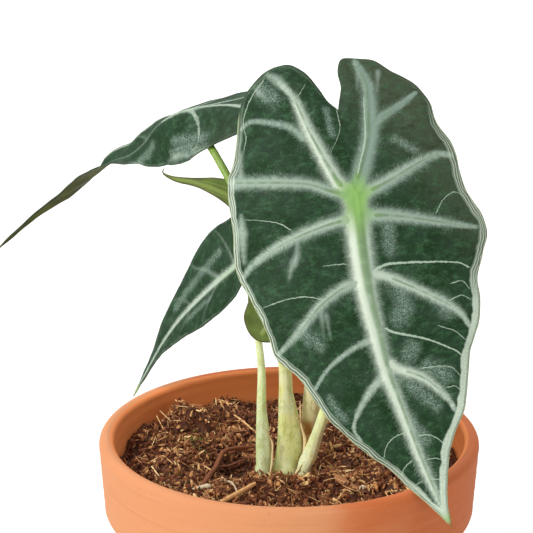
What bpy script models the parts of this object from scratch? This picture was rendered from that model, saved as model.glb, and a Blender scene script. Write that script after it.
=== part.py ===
"""Potted alocasia in a terracotta pot, about 0.29 m tall.

The pot stands on z = 0 with its axis on the Z axis. Four petioles stand in holes in the soil, and each
carries one arrow-shaped blade: a large front one, a high one that arches to the left, a low one that
hangs over the left of the rim, and one behind the front leaf that shows its underside. Metres, +Z up.
"""
import math
from dataclasses import dataclass

import bmesh
import bpy
import numpy as np
from mathutils import Vector, noise

# Driving dimensions
POT_HEIGHT = 0.135
RIM_RADIUS = 0.075
RIM_WIDTH = 0.006
COLLAR_HEIGHT = 0.035
COLLAR_FOOT_RADIUS = 0.0733
COLLAR_FOOT_ROUND = 0.006
COLLAR_FOOT_UNDERCUT = 0.0005
COLLAR_HOLLOW_HEIGHT = 0.104
COLLAR_HOLLOW_RADIUS = 0.0662
SHOULDER_RADIUS = 0.0655
WALL_THICKNESS = 0.0065
BASE_RADIUS = 0.049
BASE_BEVEL = 0.0012
BODY_FOOT_HEIGHT = 0.003
FLOOR_THICKNESS = 0.009
FLOOR_ROUND = 0.003
DRAIN_HOLE_RADIUS = 0.004
DRAIN_RING_RADIUS = 0.022
DRAIN_HOLE_COUNT = 3
SOIL_LEVEL = 0.1205
SOIL_DEPTH = 0.106
SOIL_BANK_LEFT = 0.0065
SOIL_BANK_BACK = 0.0018
LUMP_HEIGHT = 0.0022
LUMP_LENGTH = 0.0133
CRUMB_HEIGHT = 0.0010
CRUMB_LENGTH = 0.0048
STEM_HOLE_DEPTH = 0.010
STEM_LEVEL_WIDTH = 0.008
SHEATH_START = 0.003
SHEATH_SPREAD = 0.55
PETIOLE_APPROACH = 0.0035
GAP = 0.0003
BLADE_THICKNESS = 0.0007
VEIN_THICKNESS = 0.0024
RIB_SHARE = 0.55
TIP_THINNING = 0.75
RIB_FLANK = 0.0015
RIB_BOW = 0.35
RIB_BOW_START = 0.010
CURL_WIDTH = 0.040
RIPPLE_LENGTH = 0.0393
RIPPLE_SHIFT = 1.3

# How finely the round and leafy pieces are divided
POT_STEPS = 64
ROUND_POINTS = 5
HOLE_SIDES = 16
SOIL_SECTORS = 48
SOIL_RINGS = 10
PETIOLE_SIDES = 10
PETIOLE_RINGS = 18
OUTLINE_STEPS = 8
SPINE_STEPS = 12
SPOKE_SPACING = 0.0060
MERGE_DISTANCE = 0.00001
BLADE_RINGS = (0.0, 0.14, 0.33, 0.54, 0.75, 0.92, 1.0)


@dataclass(frozen=True)
class Leaf:
    """One blade in its own flat measures, and the spine that it is bent along.

    a runs across the blade from the midrib, and b along the midrib from the petiole to the tip. Each
    half turns up from the spine's side direction by its bend, and on by its curl over CURL_WIDTH.
    """

    name: str
    spine: tuple
    heart: int
    side: tuple
    bend: tuple
    curl: tuple
    left: tuple
    right: tuple
    left_ribs: tuple
    right_ribs: tuple
    puff: float
    wave: float


FRONT_LEAF = Leaf(
    name="front_leaf_blade",
    spine=(
        (0.0164, 0.0030, 0.2924), (0.0178, -0.0092, 0.2685), (0.0210, -0.0174, 0.2533),
        (0.0239, -0.0240, 0.2398), (0.0260, -0.0317, 0.2228), (0.0297, -0.0402, 0.2023),
        (0.0348, -0.0476, 0.1814), (0.0403, -0.0523, 0.1674), (0.0489, -0.0583, 0.1460),
        (0.0603, -0.0641, 0.1222),
    ),
    heart=3,
    side=(1.0, 0.0, 0.0),
    bend=((-0.060, 6.0, 6.0), (0.000, 6.0, 6.0), (0.060, 4.0, 4.0), (0.135, 0.0, 0.0)),
    curl=((-0.060, -24.0, -20.0), (0.000, -30.0, -20.0), (0.060, -28.0, -18.0), (0.135, -20.0, -16.0)),
    left=(
        (0.0, -0.033), (-0.004, -0.037), (-0.010, -0.046), (-0.017, -0.0505), (-0.025, -0.0495),
        (-0.032, -0.044), (-0.037, -0.0365), (-0.039, -0.030), (-0.042, -0.024), (-0.0462, -0.017),
        (-0.0485, -0.007), (-0.0483, 0.007), (-0.049, 0.0215), (-0.046, 0.029), (-0.0425, 0.038),
        (-0.0403, 0.045), (-0.0393, 0.053), (-0.033, 0.060), (-0.029, 0.0675), (-0.0245, 0.0805),
        (-0.0177, 0.0923), (-0.012, 0.101), (-0.0073, 0.1113), (-0.003, 0.121), (0.0, 0.1306),
    ),
    right=(
        (0.0, -0.033), (0.0015, -0.041), (0.0008, -0.048), (0.0022, -0.052), (0.0068, -0.0525),
        (0.015, -0.051), (0.021, -0.047), (0.030, -0.041), (0.0347, -0.031), (0.036, -0.020),
        (0.040, -0.0125), (0.0408, -0.0023), (0.042, 0.003), (0.047, 0.011), (0.048, 0.021),
        (0.0455, 0.028), (0.0418, 0.0375), (0.0394, 0.053), (0.034, 0.066), (0.027, 0.080),
        (0.0217, 0.090), (0.014, 0.0985), (0.010, 0.105), (0.006, 0.1127), (0.0022, 0.1212),
        (0.0, 0.1306),
    ),
    left_ribs=((0.0, 4), (0.0, 9), (0.0095, 12), (0.031, 16), (0.054, 18), (0.070, 20)),
    right_ribs=((0.0, 4), (0.0, 10), (0.0075, 14), (0.031, 17), (0.062, 20)),
    puff=0.0008,
    wave=0.0010,
)

HIGH_LEAF = Leaf(
    name="high_leaf_blade",
    spine=(
        (-0.0019, 0.0090, 0.2709), (-0.0188, 0.0185, 0.2638), (-0.0387, 0.0280, 0.2593),
        (-0.0459, 0.0315, 0.2560), (-0.0520, 0.0355, 0.2505), (-0.0580, 0.0405, 0.2412),
        (-0.0638, 0.0440, 0.2356), (-0.0707, 0.0465, 0.2324), (-0.0784, 0.0490, 0.2259),
        (-0.0877, 0.0515, 0.2195), (-0.1013, 0.0555, 0.2091), (-0.1227, 0.0610, 0.1891),
    ),
    heart=2,
    side=(0.0, -1.0, 0.0),
    bend=(
        (-0.045, 4.0, -25.0), (-0.021, 3.0, -25.0), (-0.012, 2.0, -25.0), (0.0, -8.0, -26.0),
        (0.014, -20.0, -26.0), (0.022, -14.0, -24.0), (0.029, 2.0, -20.0), (0.036, 12.0, -2.0),
        (0.044, 18.0, 14.0), (0.052, 14.0, 30.0), (0.060, -6.0, 40.0), (0.066, -20.0, 44.0),
        (0.074, -38.0, 46.0), (0.116, -45.0, 48.0),
    ),
    curl=(
        (-0.045, -16.0, -88.0), (-0.012, -16.0, -80.0), (0.0, -10.0, -76.0), (0.014, -10.0, -70.0),
        (0.022, -8.0, -56.0), (0.029, -6.0, -44.0), (0.036, -4.0, -14.0), (0.044, -2.0, 0.0),
        (0.116, 0.0, 0.0),
    ),
    left=(
        (0.0, -0.023), (-0.001, -0.028), (-0.005, -0.037), (-0.010, -0.0395), (-0.016, -0.036),
        (-0.020, -0.025), (-0.0215, -0.012), (-0.0213, -0.004), (-0.0205, 0.006), (-0.0185, 0.016),
        (-0.0168, 0.0245), (-0.0150, 0.031), (-0.0125, 0.038), (-0.0102, 0.0425), (-0.0086, 0.048),
        (-0.0078, 0.055), (-0.0066, 0.0605), (-0.0054, 0.066), (-0.0036, 0.076), (-0.0016, 0.091),
        (-0.0008, 0.105), (0.0, 0.1162),
    ),
    right=(
        (0.0, -0.023), (0.0015, -0.028), (0.0045, -0.0355), (0.009, -0.036), (0.0125, -0.029),
        (0.0140, -0.022), (0.0165, -0.016), (0.0200, -0.008), (0.0222, -0.002), (0.0226, 0.004),
        (0.0214, 0.010), (0.0196, 0.016), (0.0178, 0.0205), (0.0158, 0.0245), (0.0123, 0.0285),
        (0.0083, 0.0325), (0.0070, 0.037), (0.0070, 0.043), (0.0080, 0.049), (0.0084, 0.055),
        (0.0070, 0.061), (0.0048, 0.067), (0.0026, 0.076), (0.0016, 0.091), (0.0008, 0.105),
        (0.0, 0.1162),
    ),
    left_ribs=((0.0, 3), (0.0, 7), (0.014, 10), (0.035, 13)),
    right_ribs=((0.0, 3), (0.0, 9), (0.014, 12), (0.035, 16)),
    puff=0.0004,
    wave=0.0003,
)

LOW_LEAF = Leaf(
    name="low_leaf_blade",
    spine=(
        (-0.0053, -0.0020, 0.2241), (-0.0122, 0.0080, 0.2121), (-0.0209, 0.0170, 0.1985),
        (-0.0274, 0.0220, 0.1910), (-0.0351, 0.0280, 0.1817), (-0.0439, 0.0340, 0.1702),
        (-0.0516, 0.0390, 0.1576), (-0.0573, 0.0430, 0.1460), (-0.0644, 0.0470, 0.1316),
    ),
    heart=2,
    side=(-0.003, -0.91, -0.41),
    bend=(
        (-0.040, 22.0, 0.0), (0.0, 22.0, -2.0), (0.040, 18.0, -4.0), (0.060, 10.0, -4.0),
        (0.090, 5.0, -5.0),
    ),
    curl=((-0.040, -20.0, -28.0), (0.0, -20.0, -28.0), (0.090, -12.0, -12.0)),
    left=(
        (0.0, -0.008), (-0.003, -0.0125), (-0.008, -0.017), (-0.013, -0.018), (-0.017, -0.0145),
        (-0.0200, -0.008), (-0.022, 0.0), (-0.0238, 0.008), (-0.024, 0.015), (-0.022, 0.022),
        (-0.0170, 0.030), (-0.0130, 0.038), (-0.0105, 0.048), (-0.0082, 0.056), (-0.0045, 0.064),
        (-0.0024, 0.073), (0.0, 0.0859),
    ),
    right=(
        (0.0, -0.008), (0.0025, -0.0105), (0.0060, -0.0100), (0.0092, -0.007), (0.0118, -0.003),
        (0.0138, 0.001), (0.0150, 0.006), (0.0155, 0.012), (0.0150, 0.020), (0.0138, 0.028),
        (0.0110, 0.038), (0.0080, 0.048), (0.0045, 0.057), (0.0026, 0.065), (0.0015, 0.074),
        (0.0, 0.0859),
    ),
    left_ribs=((0.0, 3), (0.0, 7), (0.014, 10), (0.032, 13)),
    right_ribs=((0.0, 3), (0.0, 6), (0.012, 9), (0.030, 11)),
    puff=0.0004,
    wave=0.0004,
)

BACK_LEAF = Leaf(
    name="back_leaf_blade",
    spine=(
        (0.0233, -0.0020, 0.2003), (0.0137, 0.0005, 0.2056), (0.0040, 0.0030, 0.2117),
        (-0.0068, 0.0059, 0.2192), (-0.0180, 0.0089, 0.2268), (-0.0288, 0.0116, 0.2316),
        (-0.0385, 0.0137, 0.2342), (-0.0459, 0.0152, 0.2354), (-0.0490, 0.0160, 0.2372),
        (-0.0484, 0.0161, 0.2384),
    ),
    heart=2,
    side=(0.554, -0.005, 0.832),
    bend=((-0.030, 6.0, 8.0), (0.070, 4.0, 6.0)),
    curl=((-0.030, -14.0, -24.0), (0.070, -8.0, -12.0)),
    left=(
        (0.0, -0.0034), (-0.0045, -0.0080), (-0.0123, -0.0125), (-0.0205, -0.0152),
        (-0.0291, -0.0157), (-0.0357, -0.0134), (-0.0398, -0.0099), (-0.0414, -0.0067),
        (-0.0412, -0.0040), (-0.0395, -0.0010), (-0.0367, 0.0015), (-0.0301, 0.0036),
        (-0.0240, 0.0065), (-0.0162, 0.0133), (-0.0090, 0.0215), (-0.0046, 0.0300),
        (-0.0031, 0.0362), (-0.0024, 0.0408), (-0.0017, 0.0453), (-0.0015, 0.0530),
        (-0.0008, 0.0580), (0.0, 0.0626),
    ),
    right=(
        (0.0, -0.0034), (0.0015, -0.0110), (0.0042, -0.0141), (0.0085, -0.0122),
        (0.0125, -0.0050), (0.0142, 0.0030), (0.0140, 0.0100), (0.0120, 0.0190),
        (0.0085, 0.0280), (0.0054, 0.0364), (0.0042, 0.0411), (0.0029, 0.0446),
        (0.0013, 0.0501), (0.0006, 0.0570), (0.0, 0.0626),
    ),
    left_ribs=((0.0, 8), (0.004, 12), (0.018, 15)),
    right_ribs=((0.0, 2), (0.0, 5), (0.015, 7)),
    puff=0.0004,
    wave=0.0004,
)

LEAVES = (FRONT_LEAF, HIGH_LEAF, LOW_LEAF, BACK_LEAF)


@dataclass(frozen=True)
class Petiole:
    """A leaf stalk: its foot in the soil, its free route to the heart of a blade, and its sheath."""

    name: str
    leaf: Leaf
    foot: tuple
    foot_radius: float
    route: tuple
    radii: tuple
    sheath_angle: float
    sheath_reach: float
    sheath_height: float


PETIOLES = (
    Petiole(
        name="front_leaf_petiole",
        leaf=FRONT_LEAF,
        foot=(0.0058, -0.0115),
        foot_radius=0.0027,
        route=(
            (0.0085, -0.0125, 0.1305), (0.0111, -0.0145, 0.1410), (0.0137, -0.0155, 0.1502),
            (0.0174, -0.0160, 0.1673), (0.0206, -0.0150, 0.1876), (0.0230, -0.0125, 0.2112),
            (0.0238, -0.0120, 0.2310),
        ),
        radii=(0.0027, 0.0024, 0.0021, 0.0019, 0.0018, 0.0017, 0.0016, 0.0015),
        sheath_angle=150.0,
        sheath_reach=0.0012,
        sheath_height=0.018,
    ),
    Petiole(
        name="high_leaf_petiole",
        leaf=HIGH_LEAF,
        foot=(-0.0012, -0.0040),
        foot_radius=0.0056,
        route=(
            (-0.0008, -0.0040, 0.1332), (-0.0013, -0.0040, 0.1502), (-0.0017, -0.0040, 0.1628),
            (-0.0040, -0.0045, 0.1792), (-0.0096, -0.0030, 0.2034), (-0.0158, -0.0005, 0.2237),
            (-0.0234, 0.0045, 0.2380), (-0.0302, 0.0140, 0.2475),
        ),
        radii=(0.0056, 0.0040, 0.0027, 0.0022, 0.0020, 0.0017, 0.0015, 0.0014, 0.0013),
        sheath_angle=-12.0,
        sheath_reach=0.0026,
        sheath_height=0.030,
    ),
    Petiole(
        name="low_leaf_petiole",
        leaf=LOW_LEAF,
        foot=(-0.0105, -0.0085),
        foot_radius=0.0030,
        route=(
            (-0.0109, -0.0070, 0.1345), (-0.0109, -0.0030, 0.1498), (-0.0109, 0.0010, 0.1608),
            (-0.0119, 0.0045, 0.1708), (-0.0134, 0.0080, 0.1791), (-0.0150, 0.0118, 0.1862),
        ),
        radii=(0.0030, 0.0025, 0.0020, 0.0016, 0.0013, 0.0012, 0.0012),
        sheath_angle=-8.0,
        sheath_reach=0.0014,
        sheath_height=0.024,
    ),
    Petiole(
        name="back_leaf_petiole",
        leaf=BACK_LEAF,
        foot=(0.0085, 0.0035),
        foot_radius=0.0025,
        route=(
            (0.0084, 0.0035, 0.1290), (0.0086, 0.0035, 0.1346), (0.0091, 0.0030, 0.1453),
            (0.0097, -0.0005, 0.1612), (0.0093, -0.0050, 0.1770), (0.0075, -0.0075, 0.1920),
            (0.0050, -0.0065, 0.2040),
        ),
        radii=(0.0025, 0.0026, 0.0030, 0.0034, 0.0030, 0.0022, 0.0016, 0.0013),
        sheath_angle=160.0,
        sheath_reach=0.0010,
        sheath_height=0.035,
    ),
)


def clear_scene():
    """Remove everything that is in the file."""
    for item in list(bpy.data.objects):
        bpy.data.objects.remove(item, do_unlink=True)


def make_collection(name):
    """Return a new collection that hangs in the scene."""
    collection = bpy.data.collections.new(name)
    bpy.context.scene.collection.children.link(collection)
    return collection


def make_material(name, colour, roughness):
    """Return a plain Principled material."""
    material = bpy.data.materials.new(name)
    material.use_nodes = True
    shader = material.node_tree.nodes["Principled BSDF"]
    shader.inputs["Base Color"].default_value = (*colour, 1.0)
    shader.inputs["Roughness"].default_value = roughness
    shader.inputs["Metallic"].default_value = 0.0
    material.diffuse_color = (*colour, 1.0)
    return material


def add_object(name, mesh, collection, material=None):
    """Link a mesh as an object, with its material and smooth shading."""
    item = bpy.data.objects.new(name, mesh)
    collection.objects.link(item)
    if material is not None:
        mesh.materials.append(material)
    mesh.shade_smooth()
    return item


def mesh_from(bm, name):
    """Turn an edited mesh into mesh data."""
    mesh = bpy.data.meshes.new(name)
    bm.to_mesh(mesh)
    bm.free()
    return mesh


def smooth_curve(points, steps):
    """Return a smooth curve through the points, with as many steps between each two."""
    knots = np.array(points, dtype=float)
    knots = np.vstack((2 * knots[0] - knots[1], knots, 2 * knots[-1] - knots[-2]))
    samples = []
    for index in range(1, len(knots) - 2):
        before, start, end, after = knots[index - 1:index + 3]
        first = max(np.linalg.norm(start - before) ** 0.5, 1e-9)
        middle = max(np.linalg.norm(end - start) ** 0.5, 1e-9)
        last = max(np.linalg.norm(after - end) ** 0.5, 1e-9)
        leave = (end - start) + middle * ((start - before) / first - (end - before) / (first + middle))
        arrive = (end - start) + middle * ((after - end) / last - (after - start) / (middle + last))
        for step in range(steps):
            t = step / steps
            samples.append(
                (2 * t**3 - 3 * t**2 + 1) * start
                + (t**3 - 2 * t**2 + t) * leave
                + (3 * t**2 - 2 * t**3) * end
                + (t**3 - t**2) * arrive
            )
    samples.append(knots[-2])
    return np.array(samples)


def lengths_along(points):
    """Return the length of the curve from its start to each of its points."""
    steps = np.linalg.norm(np.diff(points, axis=0), axis=1)
    return np.concatenate(([0.0], np.cumsum(steps)))


def blend_rows(rows, b):
    """Read a table of (b, left, right) rows at every b."""
    table = np.array(rows)
    return np.interp(b, table[:, 0], table[:, 1]), np.interp(b, table[:, 0], table[:, 2])


class BladeSurface:
    """The curved sheet that a leaf's flat measures are laid on."""

    def __init__(self, leaf):
        self.leaf = leaf
        self.points = smooth_curve(leaf.spine, SPINE_STEPS)
        lengths = lengths_along(self.points)
        self.b = lengths - lengths[leaf.heart * SPINE_STEPS]
        tangents = np.gradient(self.points, self.b, axis=0)
        self.tangents = tangents / np.linalg.norm(tangents, axis=1)[:, None]

    def frame_at(self, b):
        """Return the spine's points with the side and upper directions there."""
        point = np.stack([np.interp(b, self.b, self.points[:, i]) for i in range(3)], axis=-1)
        tangent = np.stack([np.interp(b, self.b, self.tangents[:, i]) for i in range(3)], axis=-1)
        past = np.where(b > self.b[-1], b - self.b[-1], np.minimum(b - self.b[0], 0.0))
        point = point + tangent * past[:, None]
        tangent /= np.linalg.norm(tangent, axis=1)[:, None]
        side = np.array(self.leaf.side)
        side = side - tangent * (tangent @ side)[:, None]
        side /= np.linalg.norm(side, axis=1)[:, None]
        return point, side, np.cross(tangent, side)

    def at(self, a, b, lift=0.0):
        """Place flat measures on the sheet, lifted off its upper face."""
        a, b = np.broadcast_arrays(np.asarray(a, float), np.asarray(b, float))
        point, side, upper = self.frame_at(b)
        width = np.abs(a)
        bend_left, bend_right = blend_rows(self.leaf.bend, b)
        curl_left, curl_right = blend_rows(self.leaf.curl, b)
        bend = np.radians(np.where(a < 0, bend_left, bend_right))
        curl = np.radians(np.where(a < 0, curl_left, curl_right)) / CURL_WIDTH
        curl = np.where(np.abs(curl) < 0.001, 0.001, curl)
        across = (np.sin(bend + curl * width) - np.sin(bend)) / curl
        rise = (np.cos(bend) - np.cos(bend + curl * width)) / curl
        ripple = np.sin(math.tau * b / RIPPLE_LENGTH + np.where(a < 0, RIPPLE_SHIFT, 0.0))
        rise = rise + lift + self.leaf.wave * (width / CURL_WIDTH) ** 2 * ripple
        return point + side * (np.sign(a) * across)[:, None] + upper * rise[:, None]


@dataclass
class Spoke:
    """A line of the blade's net, from the midrib at root to the margin at share of the outline."""

    root: float
    share: float
    rib: float


def rib_spokes(half, ribs):
    """Return the spokes of one half's ribs: a crest with a flank on either side."""
    lengths = lengths_along(half)
    shares = lengths / lengths[-1]
    edge = RIB_FLANK / lengths[-1]
    spokes = []
    for root, index in ribs:
        share = shares[index * OUTLINE_STEPS]
        step = RIB_FLANK if root > 0.0 else 0.0
        spokes.append(Spoke(root - step, share - edge, 0.0))
        spokes.append(Spoke(root, share, 1.0))
        spokes.append(Spoke(root + step, share + edge, 0.0))
    return spokes


def midrib_roots(leaf, length):
    """Return the places on the midrib where spokes of both halves start."""
    roots = {0.0, length}
    for root, _ in leaf.left_ribs + leaf.right_ribs:
        if root > 0.0:
            roots.update((root - RIB_FLANK, root, root + RIB_FLANK))
    ordered = sorted(roots)
    filled = []
    for now, then in zip(ordered[:-1], ordered[1:]):
        filled.append(now)
        count = int((then - now) / SPOKE_SPACING)
        filled.extend(now + (then - now) * step / (count + 1) for step in range(1, count + 1))
    return [root for root in filled if root > 0.0]


def half_spokes(leaf, half, ribs, length):
    """Return all spokes of one half, in order from the notch to the tip, no further apart than wished."""
    ribbed = rib_spokes(half, ribs)
    spokes = [Spoke(0.0, 0.0, 0.0)] + [spoke for spoke in ribbed if spoke.root == 0.0]
    keys = [spokes[-1]] + [spoke for spoke in ribbed if spoke.root > 0.0]
    keys.append(Spoke(length, 1.0, 0.0))
    key_roots = [key.root for key in keys]
    key_shares = [key.share for key in keys]
    crests = [key.root for key in keys if key.rib > 0.0]
    for root in midrib_roots(leaf, length):
        near = any(abs(root - crest) < MERGE_DISTANCE for crest in crests)
        spokes.append(Spoke(root, float(np.interp(root, key_roots, key_shares)), float(near)))
    spokes.append(keys[-1])
    outline = lengths_along(half)[-1]
    filled = []
    for now, then in zip(spokes[:-1], spokes[1:]):
        filled.append(now)
        count = int((then.share - now.share) * outline / SPOKE_SPACING)
        for step in range(1, count + 1):
            share = now.share + (then.share - now.share) * step / (count + 1)
            filled.append(Spoke(now.root, share, 0.0))
    return filled


def puff_shares(spokes):
    """Return how far each spoke lies between two ribs, from 0 on a rib to 1 midway."""
    crests = [0.0] + [spoke.share for spoke in spokes if spoke.rib > 0.0] + [1.0]
    values = []
    for spoke in spokes:
        place = max(1, sum(crest <= spoke.share for crest in crests[:-1]))
        start, end = crests[place - 1], crests[min(place, len(crests) - 1)]
        share = (spoke.share - start) / max(end - start, 1e-9)
        values.append(math.sin(math.pi * min(max(share, 0.0), 1.0)))
    return values


def spoke_columns(leaf, points, ribs, length):
    """Return one half's net as columns of (a, b, lift, thickness) rows."""
    half = smooth_curve(points, OUTLINE_STEPS)
    shares = lengths_along(half) / lengths_along(half)[-1]
    spokes = half_spokes(leaf, half, ribs, length)
    columns = []
    for spoke, puff in zip(spokes, puff_shares(spokes)):
        root = np.array((0.0, spoke.root))
        end = np.array([np.interp(spoke.share, shares, half[:, i]) for i in range(2)])
        reach = np.linalg.norm(end - root)
        bow = RIB_BOW * reach * min(spoke.root / RIB_BOW_START, 1.0)
        column = []
        for t in BLADE_RINGS:
            a, b = root + (end - root) * t - np.array((0.0, bow * t * (1.0 - t)))
            lift = leaf.puff * puff * math.sin(math.pi * min(t * 1.1, 1.0))
            column.append((a, b, lift, rib_thickness(spoke, t, length)))
        columns.append(column)
    return columns


def rib_thickness(spoke, t, length):
    """Return the blade's thickness share at a place on a spoke: 0 on the plain blade, 1 at the heart."""
    midrib = 1.0 - TIP_THINNING * min(spoke.root / length, 1.0)
    if t == 0.0:
        return midrib
    return spoke.rib * RIB_SHARE * midrib * (1.0 - t) ** 0.7


def make_blade(leaf, collection, material):
    """Build a blade as a net of spokes on its curved sheet, thickened towards the underside."""
    length = leaf.left[-1][1]
    left = spoke_columns(leaf, leaf.left, leaf.left_ribs, length)
    right = spoke_columns(leaf, leaf.right, leaf.right_ribs, length)
    tip = [(0.0, length, 0.0, 0.0)] * len(BLADE_RINGS)
    columns = left + [tip] + right[::-1]
    rows = np.array(columns).reshape(-1, 4)
    places = BladeSurface(leaf).at(rows[:, 0], rows[:, 1], rows[:, 2])
    wide, deep = len(columns), len(BLADE_RINGS)
    bm = bmesh.new()
    bmesh.ops.create_grid(bm, x_segments=wide - 1, y_segments=deep - 1, size=0.5)
    weights = bm.verts.layers.deform.verify()
    for vert in bm.verts:
        column = round((vert.co.x + 0.5) * (wide - 1))
        ring = round((vert.co.y + 0.5) * (deep - 1))
        row = column * deep + ring
        vert.co = places[row]
        vert[weights][0] = rows[row, 3]
    bmesh.ops.remove_doubles(bm, verts=bm.verts[:], dist=MERGE_DISTANCE)
    bmesh.ops.triangulate(bm, faces=bm.faces[:])
    bmesh.ops.reverse_faces(bm, faces=bm.faces[:])
    blade = add_object(leaf.name, mesh_from(bm, leaf.name), collection, material)
    blade.vertex_groups.new(name="vein")
    solid = blade.modifiers.new("Thickness", "SOLIDIFY")
    solid.thickness = VEIN_THICKNESS
    solid.offset = -1.0
    solid.vertex_group = "vein"
    solid.thickness_vertex_group = BLADE_THICKNESS / VEIN_THICKNESS
    return blade


def petiole_route(petiole):
    """Return the stalk's centre line, from inside the soil to just under the blade."""
    point, _, upper = BladeSurface(petiole.leaf).frame_at(np.zeros(1))
    droop = max(0.0, -min(float(angle[0]) for angle in blend_rows(petiole.leaf.bend, np.zeros(1))))
    room = VEIN_THICKNESS + GAP + petiole.radii[-1] * math.tan(math.radians(droop)) / 2.0
    under = point[0] - upper[0] * room
    approach = under - upper[0] * PETIOLE_APPROACH
    x, y = petiole.foot
    bottom = SOIL_LEVEL - STEM_HOLE_DEPTH + GAP
    start = ((x, y, bottom), (x, y, SOIL_LEVEL + SHEATH_START))
    return smooth_curve(start + petiole.route + (tuple(approach), tuple(under)), SPINE_STEPS)


def turn_frames(points):
    """Return directions across the curve that turn with it as little as they can."""
    tangents = np.gradient(points, axis=0)
    tangents /= np.linalg.norm(tangents, axis=1)[:, None]
    across = np.array((1.0, 0.0, 0.0))
    frames = []
    for tangent in tangents:
        across = across - tangent * (across @ tangent)
        across /= np.linalg.norm(across)
        frames.append((across, np.cross(tangent, across)))
    return frames


def petiole_radius(petiole, height, share):
    """Return the stalk's plain radius at a height along it: even in its hole, then as its radii say."""
    if height < STEM_HOLE_DEPTH + SHEATH_START:
        return petiole.foot_radius
    return float(np.interp(share, np.linspace(0.0, 1.0, len(petiole.radii)), petiole.radii))


def make_petiole(petiole, collection, material):
    """Build a stalk as a round tube along its route, with the sheath's edge drawn out low down."""
    route = petiole_route(petiole)
    lengths = lengths_along(route)
    frames = turn_frames(route)
    bm = bmesh.new()
    bmesh.ops.create_cone(
        bm, cap_ends=True, segments=PETIOLE_SIDES, radius1=1.0, radius2=1.0, depth=1.0
    )
    uprights = [edge for edge in bm.edges if abs(edge.verts[0].co.z - edge.verts[1].co.z) > 0.5]
    bmesh.ops.subdivide_edges(bm, edges=uprights, cuts=PETIOLE_RINGS, use_grid_fill=True)
    for vert in bm.verts:
        share = vert.co.z + 0.5
        height = share * lengths[-1]
        index = int(np.argmin(np.abs(lengths - height)))
        angle = math.atan2(vert.co.y, vert.co.x)
        centre = [np.interp(height, lengths, route[:, i]) for i in range(3)]
        offset = sheath_offset(petiole, angle, height)
        radius = petiole_radius(petiole, height, share) + offset
        across, along = frames[index]
        spread = across * math.cos(angle) + along * math.sin(angle)
        vert.co = Vector(np.array(centre) + spread * radius)
    bmesh.ops.recalc_face_normals(bm, faces=bm.faces[:])
    return add_object(petiole.name, mesh_from(bm, petiole.name), collection, material)


def sheath_offset(petiole, angle, height):
    """Return how far the sheath's edge stands out of the round stalk."""
    above = height - STEM_HOLE_DEPTH - SHEATH_START
    if above <= 0.0 or above >= petiole.sheath_height:
        return 0.0
    turn = angle - math.radians(petiole.sheath_angle)
    turn = (turn + math.pi) % (2.0 * math.pi) - math.pi
    swell = math.sin(math.pi * (above / petiole.sheath_height) ** 0.6)
    return petiole.sheath_reach * swell * math.exp(-((turn / SHEATH_SPREAD) ** 2))


def arc_points(centre_r, centre_z, radius, start, end, count):
    """Return points of a round corner of a turned profile, by angles in degrees."""
    angles = np.radians(np.linspace(start, end, count))
    return [(centre_r + radius * math.cos(t), centre_z + radius * math.sin(t)) for t in angles]


def pot_profile():
    """Return the pot's half section, outer side from the rim down and back up inside."""
    lip = RIM_WIDTH / 2.0
    collar_bottom = POT_HEIGHT - COLLAR_HEIGHT
    round_r = COLLAR_FOOT_RADIUS - COLLAR_FOOT_ROUND
    round_z = collar_bottom + COLLAR_FOOT_ROUND + COLLAR_FOOT_UNDERCUT
    floor_radius = BASE_RADIUS - WALL_THICKNESS + BASE_BEVEL
    outer = arc_points(RIM_RADIUS - lip, POT_HEIGHT - lip, lip, 90.0, 0.0, ROUND_POINTS)
    outer += arc_points(round_r, round_z, COLLAR_FOOT_ROUND, -2.0, -78.0, ROUND_POINTS)
    outer += [(SHOULDER_RADIUS, collar_bottom - COLLAR_FOOT_UNDERCUT)]
    outer += [(BASE_RADIUS + BASE_BEVEL, BODY_FOOT_HEIGHT), (BASE_RADIUS, BASE_BEVEL / 2.0)]
    outer += [(BASE_RADIUS - BASE_BEVEL, 0.0), (0.0, 0.0)]
    inside = [(0.0, FLOOR_THICKNESS), (floor_radius - FLOOR_ROUND, FLOOR_THICKNESS)]
    inside += [(floor_radius, FLOOR_THICKNESS + FLOOR_ROUND)]
    inside += [(SHOULDER_RADIUS - WALL_THICKNESS, collar_bottom)]
    inside += [(COLLAR_HOLLOW_RADIUS, COLLAR_HOLLOW_HEIGHT)]
    inside += arc_points(RIM_RADIUS - lip, POT_HEIGHT - lip, lip, 180.0, 90.0, ROUND_POINTS)[:-1]
    return outer + inside


def inner_radius(z):
    """Return the radius of the pot's inner wall at a height."""
    floor_radius = BASE_RADIUS - WALL_THICKNESS + BASE_BEVEL
    rows = (
        (FLOOR_THICKNESS + FLOOR_ROUND, floor_radius),
        (POT_HEIGHT - COLLAR_HEIGHT, SHOULDER_RADIUS - WALL_THICKNESS),
        (COLLAR_HOLLOW_HEIGHT, COLLAR_HOLLOW_RADIUS),
        (POT_HEIGHT - RIM_WIDTH / 2.0, RIM_RADIUS - RIM_WIDTH),
    )
    return float(np.interp(z, [row[0] for row in rows], [row[1] for row in rows]))


def add_cutter(name, location, radius, depth, collection):
    """Add a hidden upright cylinder that cuts a hole."""
    bm = bmesh.new()
    bmesh.ops.create_cone(
        bm, cap_ends=True, segments=HOLE_SIDES, radius1=radius, radius2=radius, depth=depth
    )
    cutter = bpy.data.objects.new(name, mesh_from(bm, name))
    collection.objects.link(cutter)
    cutter.location = location
    cutter.hide_render = True
    cutter.display_type = "WIRE"
    return cutter


def cut(item, cutter):
    """Take the cutter's shape out of an object."""
    boolean = item.modifiers.new(cutter.name, "BOOLEAN")
    boolean.operation = "DIFFERENCE"
    boolean.solver = "EXACT"
    boolean.object = cutter


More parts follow.
